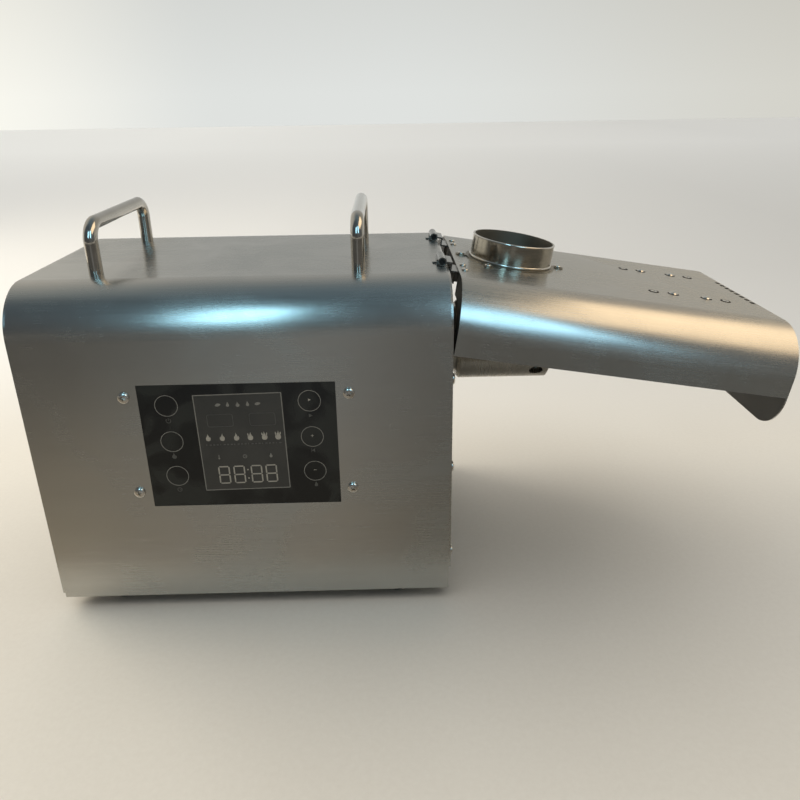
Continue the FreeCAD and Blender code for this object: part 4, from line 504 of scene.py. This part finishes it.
def pan_head(head, rise, shank, reach):
    """A pan-head screw with a cross recess, its seat at the origin and its head up."""
    bm = bmesh.new()
    dome = [(head * math.sin(angle), rise * (0.42 + 0.58 * math.cos(angle)))
            for angle in (0.0, 0.3, 0.6, 0.85, 1.1, 1.3, 1.5)]
    rim = [(head, rise * 0.36), (head, rise * 0.08), (head * 0.96, 0)]
    tip = [(shank, 0), (shank, POINT_CHAMFER - reach), (shank - POINT_CHAMFER, -reach), (0, -reach)]
    revolved(bm, dome + rim + tip)
    tools = []
    for sides in ((RECESS_LONG, RECESS_THIN), (RECESS_THIN, RECESS_LONG)):
        recess = bmesh.new()
        half_low = [head * wide * taper for taper, wide in sides]
        half_high = [head * wide for _, wide in sides]
        frustum(recess, half_low, half_high, rise * 0.3, rise * 1.2)
        tools.append(linked("screw_recess", mesh_of("screw_recess", recess)))
    return carved(linked("screw_base", mesh_of("screw_base", bm)), tools)


def rivet_shape(head, rise, shank, reach, dimple):
    """A blind rivet: domed or flush head with the stem's dimple."""
    bm = bmesh.new()
    stem = [(0, rise * 0.55), (dimple * 0.8, rise * 0.5), (dimple, rise * 0.97)]
    dome = [(head * 0.5, rise * 0.94), (head * 0.72, rise * 0.78), (head * 0.9, rise * 0.46),
            (head, rise * 0.12)]
    revolved(bm, stem + dome + [(head, 0), (shank, 0), (shank, -reach), (0, -reach)], 32)
    return mesh_of("rivet_shape", bm)


def extent(points):
    """The lowest and the highest value of each coordinate."""
    return [[pick(values) for values in zip(*points)] for pick in (min, max)]


def spots(node, towards):
    """Where each round fastener of a node sits: the middle of its top, its length and its radius."""
    side = towards.cross(BACK if abs(towards.y) < 0.9 else UP).normalized()
    other = towards.cross(side)
    groups = []
    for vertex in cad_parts[node].data.vertices:
        flat = (vertex.co.dot(side), vertex.co.dot(other), vertex.co.dot(towards))
        for group in groups:
            if math.dist(flat[:2], group[0][:2]) < FASTENER_SPACING:
                group.append(flat)
                break
        else:
            groups.append([flat])
    found = []
    for lows, highs in map(extent, groups):
        middle = side * (lows[0] + highs[0]) / 2 + other * (lows[1] + highs[1]) / 2 + towards * highs[2]
        found.append((middle, highs[2] - lows[2], (highs[0] - lows[0]) / 2))
    return found


def copied(placed):
    """One bmesh from copies of meshes, each with its own matrix."""
    bm = bmesh.new()
    for mesh, matrix in placed:
        part = mesh.copy()
        part.transform(matrix)
        bm.from_mesh(part)
        bpy.data.meshes.remove(part)
    return bm


def seated(top, towards, rise, turn=0.0):
    """The matrix that puts a fastener's head under a top point."""
    upright = towards.to_track_quat("Z", "Y").to_matrix().to_4x4()
    return Matrix.Translation(top - towards * rise) @ upright @ Matrix.Rotation(turn, 4, "Z")


def fasteners(node, name, body, directions, size):
    """Detailed cross-head screws in the places of a node's plain ones, each turned differently.

    Where they look two ways, the casing's middle parts them.
    """
    head, rise, shank = size
    placed, shapes = [], {}
    for k, towards in enumerate(directions):
        for index, (top, length, _) in enumerate(spots(node, towards)):
            if len(directions) > 1 and (top.x > CASE_MIDDLE) != (towards.x > 0):
                continue
            reach = round(length - rise, 5)
            if reach not in shapes:
                shapes[reach] = pan_head(head, rise, shank, reach)
            turn = FIRST_TURN + NEXT_TURN * index + SIDE_TURN * k
            placed.append((shapes[reach], seated(top, towards, rise, turn)))
    obj = piece(name, copied(placed), "bright", body)
    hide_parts(node)


def rivets():
    """Domed and flush rivets, each in a dark ring of painted shade round its head."""
    placed, shade_rings = [], []
    for top, length, radius in spots("hood_rivets", HOOD_UP):
        rise, wider, shade_width = DOMED if radius > DOMED_FROM else FLUSH
        head = radius * wider
        seat = seated(top, HOOD_UP, rise)
        placed.append((rivet_shape(head, rise, RIVET_SHANK, length - rise, RIVET_DIMPLE), seat))
        # A dark ring of painted shade round the head.
        bm = bmesh.new()
        revolved(bm, [(0, SHADE_RING_HEIGHT), (head, SHADE_RING_HEIGHT), (head + shade_width, 0), (0, 0)], 32)
        shade_rings.append((mesh_of("shade_ring_shape", bm), seat))
    obj = piece("blind_rivets", copied(placed), "bright", "hood")
    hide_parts("hood_rivets")
    # The rings of painted shade, in the dark matt film.
    piece("rivet_painted_shade", copied(shade_rings), "painted_shade_and_black", "hood")


fasteners("panel_screws", "panel_cross_screws", "casing", [FRONT], M4_SCREW)
fasteners("end_panel_screws", "end_cross_screws", "casing", [LEFT, RIGHT], M4_SCREW)
fasteners("inlet_and_fan_screws", "inlet_and_fan_cross_screws", "casing", [LEFT], M3_SCREW)
fasteners("collar_screws", "collar_cross_screws", "hood", [HOOD_UP], M3_SCREW)
fasteners("hinge_screws", "hinge_cross_screws", "hood", [HOOD_UP], M3_SCREW)
rivets()


# The hood's small folded details, in millimetres along it, across it and above its top

HOOD_DROP = 1.4
HOOD_CORNER = Vector((WRAP_HIGH.x, 0, WRAP_HIGH.z - HOOD_DROP * MM))
BEND_MIDDLE, BEND_RADIUS, SKIRT_EDGE = (75.0, -35.0), 35.0, -48.2
LIP_ENDS, LIP_OUTER, LIP_INNER, TOP_LIP_INNER, LEAF_PLAY = (9.6, 10.5), 0.7, 18.0, 16.0, 1
SLIT_COUNT, SLIT_PITCH, SLIT_LENGTH, SLIT_ENDS = 8, 9.0, 5.0, (247.0, 249.6)
SLIT_TOP, SLIT_BOTTOM = 0.06, -0.9
FOOT_BEAD_HEIGHT, FOOT_BEAD, RIM_BEAD = 2.2 * MM, 0.9 * MM, 0.5 * MM
PIN_X, PIN_Z = WRAP_HIGH.x - 2.6 * MM, WRAP_HIGH.z + 3.6 * MM
CAP_OUTLINE = ((2.2 * MM, 0), (2.2 * MM, 0.3 * MM), (1.8 * MM, 0.5 * MM))
CAP_SIDES = 24


def on_hood(along, across, up):
    return HOOD_CORNER + (HOOD_ALONG * along + BACK * across + HOOD_UP * up) * MM


def strip(bm, outer, inner, side, ends):
    """A plate across the hood between two lines of (across, up) points, from one end to the other."""
    layers = [[[bm.verts.new(on_hood(end, side * across, up)) for across, up in line]
               for line in (outer, inner)] for end in ends]
    (low_out, low_in), (high_out, high_in) = layers
    for k in range(len(outer) - 1):
        for a, b in ((low_out, low_in), (low_in, high_in), (high_in, high_out), (high_out, low_out)):
            bm.faces.new((a[k], a[k + 1], b[k + 1], b[k]))
    for k in (0, -1):
        bm.faces.new((low_out[k], low_in[k], high_in[k], high_out[k]))


def section_line(inset, start, steps=10):
    """The hood's section, a distance inside it: from the top round the bend to the skirt's edge."""
    middle_across, middle_up = BEND_MIDDLE
    reach = BEND_RADIUS - inset
    turns = [math.radians(90 * k / steps) for k in range(steps + 1)]
    bend = [(middle_across + reach * math.sin(turn), middle_up + reach * math.cos(turn)) for turn in turns]
    return [(start, -inset)] + bend + [(middle_across + reach, SKIRT_EDGE)]


def hood_lips():
    """The inward lip round the hood's left end, open where the hinges pass, in darkened steel: painted shade
    on its face.
    """
    leaf_low, leaf_high = (corner.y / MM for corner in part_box("back_hinge_moving_leaf"))
    start, middle = leaf_high + LEAF_PLAY, leaf_low - LEAF_PLAY
    bm = bmesh.new()
    for side in (-1, 1):
        strip(bm, section_line(LIP_OUTER, start), section_line(LIP_INNER, start), side, LIP_ENDS)
    top, bottom = [[(-middle, -inset), (middle, -inset)] for inset in (LIP_OUTER, TOP_LIP_INNER)]
    strip(bm, top, bottom, 1, LIP_ENDS)
    piece("hood_end_lips", bm, "lip_shade", "hood")


def fold_slits_painted_shade():
    """Short cuts that weaken the fold between the hood's top and its end flap, drawn as dark plates across
    the sheet: painted shade in the cuts.
    """
    bm = bmesh.new()
    for k in range(SLIT_COUNT):
        start = SLIT_PITCH * (k - (SLIT_COUNT - 1) / 2) - SLIT_LENGTH / 2
        top, bottom = [[(start, up), (start + SLIT_LENGTH, up)] for up in (SLIT_TOP, SLIT_BOTTOM)]
        strip(bm, top, bottom, 1, SLIT_ENDS)
    piece("fold_slits_painted_shade", bm, "painted_shade_and_black", "hood")


def torus(bm, centre, radius, thick, around=72, across=10):
    """A closed ring whose plane is the hood's."""
    rings = []
    for along, aside in ring_of(1, around):
        out = HOOD_ALONG * along + BACK * aside
        rings.append([bm.verts.new(centre + out * (radius + wide) + HOOD_UP * up)
                      for wide, up in ring_of(thick, across)])
    for i in range(around):
        here, there = rings[i], rings[(i + 1) % around]
        for k in range(across):
            after = (k + 1) % across
            bm.faces.new((here[k], there[k], there[after], here[after]))


def collar_beads():
    """The bead rolled round the feed collar's foot and its rim."""
    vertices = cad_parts["feed_collar"].data.vertices
    flat = [(vertex.co.dot(HOOD_ALONG), vertex.co.y, vertex.co.dot(HOOD_UP)) for vertex in vertices]
    rim = extent(flat)[1][2]
    lows, highs = extent([point for point in flat if point[2] > rim - RIM_BEAD])
    radius = (highs[1] - lows[1]) / 2
    middle = HOOD_ALONG * (lows[0] + highs[0]) / 2 + BACK * (lows[1] + highs[1]) / 2
    foot = HOOD_CORNER.dot(HOOD_UP) + FOOT_BEAD_HEIGHT
    bm = bmesh.new()
    for level, thick in ((foot, FOOT_BEAD), (rim - RIM_BEAD, RIM_BEAD)):
        torus(bm, middle + HOOD_UP * level, radius, thick)
    piece("collar_beads", bm, "bright", "hood")


def hinge_caps():
    """Black caps in the ends of the hinge knuckles."""
    bm = bmesh.new()
    for node in ("front_hinge_moving_leaf", "back_hinge_moving_leaf"):
        low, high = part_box(node)
        for end, outwards in ((low.y, -1), (high.y, 1)):
            rings = [[bm.verts.new((PIN_X + x, end + outwards * lift, PIN_Z + z))
                      for x, z in ring_of(radius, CAP_SIDES)] for radius, lift in CAP_OUTLINE]
            for first, second in zip(rings, rings[1:]):
                for k in range(CAP_SIDES):
                    after = (k + 1) % CAP_SIDES
                    bm.faces.new((first[k], first[after], second[after], second[k]))
            bm.faces.new(rings[0])
            bm.faces.new(rings[-1])
    piece("hinge_caps", bm, "painted_shade_and_black", "hood")


hood_lips()
fold_slits_painted_shade()
collar_beads()
hinge_caps()


# Prints on the touch panel, as thin films on the glass

# Places on the panel are millimetres to the right of its middle and above the floor.
FILM = 0.04 * MM
PRINT_LEVEL, PRINT_SKEW = 139.0, 0.0159
LEFT_COLUMN, RIGHT_COLUMN, ROWS = -49.5, 51.0, (172.4, 144.4, 116.5)
RING_OUTER, RING_INNER, RING_SIDES = 8.15, 7.65, 72
WINDOW = (-30.0, 31.5, 103.7, 179.5)
FIELDS, FIELD_LINE = ((-22.5, -4.0, 154.8, 164.6), (7.5, 26.0, 154.8, 164.6)), 0.35
TICK_START, TICK_PITCH, TICK_COUNT, TICK_LOW, TICK_HIGH = -25.5, 2.5, 22, 140.2, 141.1
FLAME_PLACES, FLAME_LEVEL, FLAME_WIDE, FLAME_TALL = (-23.4, -13.3, -3.2, 6.8, 16.9, 26.6), 146.6, 4.9, 6.6
DIGIT_PLACES, DIGIT_LEVEL, DIGIT_SIZE = (-15.2, -4.2, 8.4, 19.2), 115.9, (7.4, 13.6, 0.95)
COLON_LEFT, COLON_LEVELS, COLON_SIZE = 1.6, (119.6, 112.6), 1.0
TITLE_START, TITLE_PITCH, TITLE_LEVEL, STEP_LEVEL = -13.5, 7.0, 171.9, 130.6

FLAME = [(0.0, -0.5), (0.3, -0.42), (0.42, -0.15), (0.3, 0.08), (0.2, -0.02), (0.14, 0.16), (0.02, 0.34),
         (-0.06, 0.52), (-0.1, 0.3), (-0.22, 0.1), (-0.38, -0.08), (-0.36, -0.34), (-0.18, -0.48)]
TONGUE = [(0.3, 0.02), (0.42, 0.18), (0.36, 0.4), (0.24, 0.22), (0.22, 0.1)]


def spot(across, up, lift):
    """A point in front of the glass. The print sits slightly askew on it."""
    x = across - PRINT_SKEW * (up - PRINT_LEVEL)
    return Vector((CASE_MIDDLE + x * MM, GLASS_FACE - lift, (up + PRINT_SKEW * across) * MM))


def film(bm, outer, inner=None, base=2 * FILM, depth=FILM):
    """A thin closed plate with an outline on the panel, or a ring where there is an inner outline."""
    loops = [outer] if inner is None else [outer, inner]
    low, high = [[[bm.verts.new(spot(x, z, lift)) for x, z in loop] for loop in loops]
                 for lift in (base, base + depth)]
    for loop_low, loop_high in zip(low, high):
        for k in range(len(loop_low)):
            after = (k + 1) % len(loop_low)
            bm.faces.new((loop_low[k], loop_low[after], loop_high[after], loop_high[k]))
    for level in (low, high):
        if inner is None:
            bm.faces.new(level[0])
        else:
            for k in range(len(outer)):
                after = (k + 1) % len(outer)
                bm.faces.new((level[0][k], level[0][after], level[1][after], level[1][k]))


def circle(x, z, radius, sides):
    return [(x + across, z + up) for across, up in ring_of(radius, sides)]


def box(x0, x1, z0, z1, radius=0.0, steps=5):
    """A rectangle, with rounded corners where a radius is given."""
    if radius <= 0:
        return [(x0, z0), (x1, z0), (x1, z1), (x0, z1)]
    left, right, low, high = x0 + radius, x1 - radius, z0 + radius, z1 - radius
    loop = []
    for x, z, start in ((right, low, -90), (right, high, 0), (left, high, 90), (left, low, 180)):
        for k in range(steps + 1):
            angle = math.radians(start + 90 * k / steps)
            loop.append((x + radius * math.cos(angle), z + radius * math.sin(angle)))
    return loop


def grown(bounds, by, radius):
    """A rounded rectangle a distance outside given bounds."""
    x0, x1, z0, z1 = bounds
    return box(x0 - by, x1 + by, z0 - by, z1 + by, radius)


def arc_band(radius, thick, start, end, steps=20):
    """The outline of a band along an arc round the origin."""
    angles = [math.radians(start + (end - start) * k / steps) for k in range(steps + 1)]
    edges = ((radius + thick / 2, angles), (radius - thick / 2, angles[::-1]))
    return [(reach * math.cos(angle), reach * math.sin(angle)) for reach, line in edges for angle in line]


def rounded_loop(points, steps=4):
    """A closed smooth curve through a few points."""
    curve, count = [], len(points)
    for k in range(count):
        before, here, there, beyond = [Vector(points[(k + step) % count]) for step in (-1, 0, 1, 2)]
        bend = 2 * before - 5 * here + 4 * there - beyond
        twist = 3 * here - before - 3 * there + beyond
        for step in range(steps):
            part = step / steps
            point = 2 * here + (there - before) * part + bend * part ** 2 + twist * part ** 3
            curve.append(tuple(0.5 * point))
    return curve


# Generic signs, by half their size: each is a list of outlines, and a ring has two.
SIGNS = {
    "power": [[arc_band(0.75, 0.22, -235, 55)], [box(-0.1, 0.1, 0.1, 1)]],
    "play": [[[(-0.6, -0.75), (0.8, 0), (-0.6, 0.75)]]],
    "back": [[[(0.6, -0.75), (0.6, 0.75), (-0.5, 0)]], [box(-0.75, -0.55, -0.75, 0.75)]],
    "plus": [[[(0.8 * across, 0.8 * up) for across, up in (
        (-0.16, -1), (0.16, -1), (0.16, -0.16), (1, -0.16), (1, 0.16), (0.16, 0.16),
        (0.16, 1), (-0.16, 1), (-0.16, 0.16), (-1, 0.16), (-1, -0.16), (-0.16, -0.16))]]],
    "minus": [[box(-0.8, 0.8, -0.14, 0.14)]],
    "heat": [[rounded_loop([(1.6 * across, 2 * up) for across, up in FLAME])]],
    "drop": [[rounded_loop([(0, 1), (0.3, 0.35), (0.55, -0.25), (0.3, -0.8), (-0.3, -0.8), (-0.55, -0.25),
                            (-0.3, 0.35)])]],
    "seed": [[rounded_loop([(-1, -0.2), (-0.2, 0.5), (0.8, 0.35), (1, 0), (0.3, -0.55), (-0.5, -0.6)])]],
    "ring": [[circle(0, 0, 0.8, 24), circle(0, 0, 0.6, 24)], [box(-0.08, 0.08, 0, 0.45)],
             [box(0, 0.4, -0.08, 0.08)]],
    "glass": [[circle(0, -0.55, 0.35, 20)], [box(-0.14, 0.14, -0.3, 0.95, 0.13)]],
}


def sign(bm, kind, x, z, size):
    for loops in SIGNS[kind]:
        film(bm, *[[(x + size / 2 * across, z + size / 2 * up) for across, up in loop] for loop in loops])


def flame(bm, x, z, wide, tall, level):
    """A flame that gets side tongues at the higher levels. Every second one is turned round."""
    turn = -1 if level % 2 else 1
    shapes = [(FLAME, turn), (TONGUE, turn), (TONGUE, -turn)]
    shown = 1 + (level > 2) + (level > 3)
    for shape, side in shapes[:shown]:
        film(bm, rounded_loop([(x + side * across * wide, z + up * tall) for across, up in shape]))


def digit(bm, x, z, wide, tall, thick, gap=0.25):
    """All seven bars of one unlit digit, with pointed ends."""
    def bar(start, end):
        along = (end - start).normalized()
        side = Vector((-along.y, along.x)) * thick / 2
        point = along * thick / 2
        start, end = start + along * gap, end - along * gap
        corners = (start, start + point - side, end - point - side,
                   end, end - point + side, start + point + side)
        film(bm, [tuple(corner) for corner in corners])

    left, right = x - wide / 2, x + wide / 2
    levels = (z - tall / 2, z, z + tall / 2)
    for level in levels:
        bar(Vector((left, level)), Vector((right, level)))
    for across in (left, right):
        for low, high in zip(levels, levels[1:]):
            bar(Vector((across, low)), Vector((across, high)))


def panel_prints():
    screen = bmesh.new()
    film(screen, grown(WINDOW, 0, 0.4), base=0.0)
    piece("display_window", screen, "screen", "casing", smooth=False)

    grey = bmesh.new()
    for x in (LEFT_COLUMN, RIGHT_COLUMN):
        for z in ROWS:
            film(grey, *[circle(x, z, radius, RING_SIDES) for radius in (RING_OUTER, RING_INNER)], base=0.0)
    film(grey, grown(WINDOW, 0.4, 0.5), grown(WINDOW, -0.3, 0.3), base=0.0, depth=2 * FILM)
    piece("panel_rings", grey, "print", "casing", smooth=False)

    faint = bmesh.new()
    for field in FIELDS:
        film(faint, grown(field, 0, 1.6), grown(field, -FIELD_LINE, 1.3))
    for k in range(TICK_COUNT):
        x = TICK_START + TICK_PITCH * k
        film(faint, box(x, x + (1.5 if k % 4 else 0.7), TICK_LOW, TICK_HIGH))
    for kind, x, z, size in (("power", LEFT_COLUMN, 161.0, 4.5), ("heat", LEFT_COLUMN, 133.2, 5.0),
                             ("ring", LEFT_COLUMN, 105.2, 4.5), ("play", RIGHT_COLUMN, 161.2, 4.0),
                             ("back", RIGHT_COLUMN, 133.4, 4.0), ("drop", RIGHT_COLUMN, 105.4, 4.6)):
        sign(faint, kind, x, z, size)
    piece("panel_faint_marks", faint, "faint", "casing", smooth=False)

    light = bmesh.new()
    for level, x in enumerate(FLAME_PLACES):
        grow = 0.86 + 0.035 * level
        flame(light, x, FLAME_LEVEL, FLAME_WIDE * grow, FLAME_TALL * grow, level)
    for x in DIGIT_PLACES:
        digit(light, x, DIGIT_LEVEL, *DIGIT_SIZE)
    for z in COLON_LEVELS:
        film(light, box(COLON_LEFT, COLON_LEFT + COLON_SIZE, z - COLON_SIZE / 2, z + COLON_SIZE / 2))
    for kind, z in (("play", 173.2), ("plus", 145.2), ("minus", 117.3)):
        sign(light, kind, RIGHT_COLUMN, z, 2.6)
    piece("panel_light_marks", light, "lit", "casing", smooth=False)

    title = bmesh.new()
    for k, kind in enumerate(("seed", "drop", "heat", "drop", "seed")):
        sign(title, kind, TITLE_START + TITLE_PITCH * k, TITLE_LEVEL, 4.0)
    for kind, x in (("glass", -17.5), ("ring", 1.2), ("drop", 20.0)):
        sign(title, kind, x, STEP_LEVEL, 3.8)
    piece("panel_title_marks", title, "print", "casing", smooth=False)


panel_prints()


# Stage: a plain pale floor and soft studio light

FLOOR_REACH = 9
CARD = (-3, 3, -4, -0.16, 0.5 * MM)


def floor_paint():
    """Pale speckled worktop, warm close by. Darker to the right: painted falloff of the light from the left.
    Lighter and cooler at the back: painted light standing in for a pale wall.
    """
    paint = Paint("floor_pale", Specular_IOR_Level=0.2)
    grain = paint.noise(240.0, detail=5.0, roughness=0.65)
    cloud = paint.noise(4.0, detail=2.0)
    mixed = paint.add(paint.spread(grain, 0, 0.5), paint.spread(cloud, 0, 0.5))
    x, y, _ = paint.node("SeparateXYZ", {0: paint.place(1)}).outputs
    near = paint.mix(mixed, (0.7, 0.65, 0.575), (0.76, 0.715, 0.64))
    # Painted light, in this and the next line: darker to the right, as the light from the left falls off.
    middle = paint.mix(paint.spread(x, 0, 1, -0.4, 1.2), (0.78, 0.76, 0.73), (0.6, 0.585, 0.56))
    far = paint.mix(paint.spread(x, 0, 1, -2.0, 3.0), (0.94, 0.93, 0.9), (0.76, 0.75, 0.73))
    # Painted light: lighter far off, where the floor stands in for a pale lit wall.
    back = paint.mix(paint.spread(y, 0, 1, 1.0, 5.0), middle, far)
    colour = paint.mix(paint.spread(y, 0, 1, 0.15, 0.5), near, back)
    return paint.finish(Base_Color=colour, Roughness=paint.spread(grain, 0.5, 0.7),
                        Normal=paint.bump(grain, 0.25, 0.0004))


def card_paint():
    """The dim room in front of the machine, as its steel shows it: lighter close by and on the left."""
    paint = Paint("card_glow", Base_Color=(0, 0, 0, 1), Roughness=1.0, Specular_IOR_Level=0.0,
                  Emission_Strength=1.0)
    x, y, _ = paint.node("SeparateXYZ", {0: paint.place(1)}).outputs
    near = paint.ramp(paint.spread(x, 0, 1, -0.45, 0.15), [
        (0.1, (0.41, 0.345, 0.245)), (0.5, (0.36, 0.315, 0.25)), (0.9, (0.18, 0.155, 0.115))], "EASE")
    far = paint.ramp(paint.spread(x, 0, 1, -0.7, 0.5), [
        (0.12, (0.11, 0.107, 0.1)), (0.45, (0.28, 0.283, 0.278)), (0.72, (0.135, 0.127, 0.115))], "EASE")
    colour = paint.mix(paint.spread(y, 0, 1, -0.16, -0.6), near, far)
    mottle = paint.noise(5.0, detail=3.0)
    return paint.finish(Emission_Color=paint.mix(paint.spread(mottle, 0, 0.25), colour, (0.1, 0.1, 0.095)))


def stage_plate(name, x0, x1, y0, y1, height, material):
    mesh = bpy.data.meshes.new(name)
    corners = [(x0, y0, height), (x1, y0, height), (x1, y1, height), (x0, y1, height)]
    mesh.from_pydata(corners, [], [(0, 1, 2, 3)])
    mesh.materials.append(material)
    obj = linked(name, mesh)
    return obj


stage_plate("floor", -FLOOR_REACH, FLOOR_REACH, -FLOOR_REACH, FLOOR_REACH, 0, floor_paint())
card = stage_plate("room_card", *CARD, card_paint())
card.visible_camera = card.visible_diffuse = card.visible_shadow = card.visible_transmission = False


def add_light(name, kind, azimuth, elevation, colour, energy, aim=(0, 0, 0), distance=0.0):
    """A light that looks at a place from an angle, counted from the back towards the right, and a height."""
    around, up = math.radians(azimuth), math.radians(elevation)
    direction = Vector((math.sin(around) * math.cos(up), math.cos(around) * math.cos(up), math.sin(up)))
    data = bpy.data.lights.new(name, kind)
    data.color, data.energy = colour, energy
    light = linked(name, data)
    light.location = Vector(aim) + direction * distance
    light.rotation_mode = "QUATERNION"
    light.rotation_quaternion = direction.to_track_quat("Z", "Y")
    return light


def soft_light(name, aim, azimuth, elevation, distance, wide, tall, colour, radiance, in_steel=True):
    """A soft rectangle of light: one that shows only in the steel, or one that only lights the room."""
    energy = radiance * math.pi * wide * tall
    light = add_light(name, "AREA", azimuth, elevation, colour, energy, aim, distance)
    light.data.shape, light.data.size, light.data.size_y = "RECTANGLE", wide, tall
    light.visible_glossy, light.visible_diffuse = in_steel, not in_steel


def even_light(name, azimuth, elevation, angle, colour, strength):
    """Light from a wide patch of the sky, which doesn't show in the steel."""
    light = add_light(name, "SUN", azimuth, elevation, colour, strength)
    light.data.angle = math.radians(angle)
    light.visible_glossy = False


CASE_BEND, HOOD_LEFT, HOOD_RIGHT = (-0.121, -0.1, 0.25), (0.06, -0.1, 0.24), (0.2, -0.1, 0.22)
soft_light("cool_left", CASE_BEND, -165.5, 34, 2.4, 0.32, 1.2, (0.39, 0.775, 1.0), 7.3)
soft_light("cool_right", HOOD_LEFT, 159.2, 36, 2.4, 0.68, 1.3, (0.4, 0.76, 1.0), 3.95)
soft_light("warm_right", HOOD_RIGHT, 97, 52, 2.4, 2.6, 1.4, (1.0, 0.75, 0.47), 2.0)
soft_light("window_left", (-0.4, 0, 0), -65, 42, 1.8, 1.2, 0.9, (1.0, 0.93, 0.78), 5.0, in_steel=False)
even_light("overhead_fill", -30, 72, 110, (1.0, 0.97, 0.93), 1.9)


def make_world():
    """A pale wall behind, brightest on the left and warm on the right, under a dim cool ceiling and front."""
    world = bpy.data.worlds.new("studio")
    world.use_nodes = True
    sky = Nodes(world.node_tree)
    x, y, z = sky.node("SeparateXYZ", {0: sky.node("TexCoord").outputs["Generated"]}).outputs

    def blend(value, start, end, first, second, kind="MIX"):
        """From the first colour to the second, or to their product, as a value goes from start to end."""
        fac = sky.spread(value, 0, 1, start, end, interpolation_type="SMOOTHSTEP")
        return sky.mix(fac, first, second, blend_type=kind)

    back = sky.ramp(z, [
        (0.0, (0.74, 0.76, 0.74)), (0.17, (0.62, 0.63, 0.605)), (0.3, (0.51, 0.51, 0.49)),
        (0.57, (0.52, 0.52, 0.5)), (0.73, (0.43, 0.44, 0.43)), (0.85, (0.33, 0.36, 0.37)),
        (0.93, (0.22, 0.26, 0.28)), (1.0, (0.17, 0.24, 0.29))])
    front = sky.ramp(z, [
        (0.0, (0.15, 0.15, 0.145)), (0.3, (0.15, 0.165, 0.17)), (0.6, (0.15, 0.18, 0.2)),
        (0.9, (0.14, 0.19, 0.22)), (1.0, (0.17, 0.24, 0.29))])
    left = blend(x, -0.2, -0.5, back, (1.3, 1.25, 1.18), "MULTIPLY")
    wall = blend(x, 0.0, 0.6, left, (0.88, 0.84, 0.78), "MULTIPLY")
    dimmed = blend(x, 0.1, 0.0, front, (0.68, 0.68, 0.7), "MULTIPLY")
    sky.tree.links.new(blend(y, -0.2, 0.15, dimmed, wall), sky.tree.nodes["Background"].inputs[0])
    bpy.context.scene.world = world


make_world()
bpy.context.scene.view_settings.view_transform = "Standard"
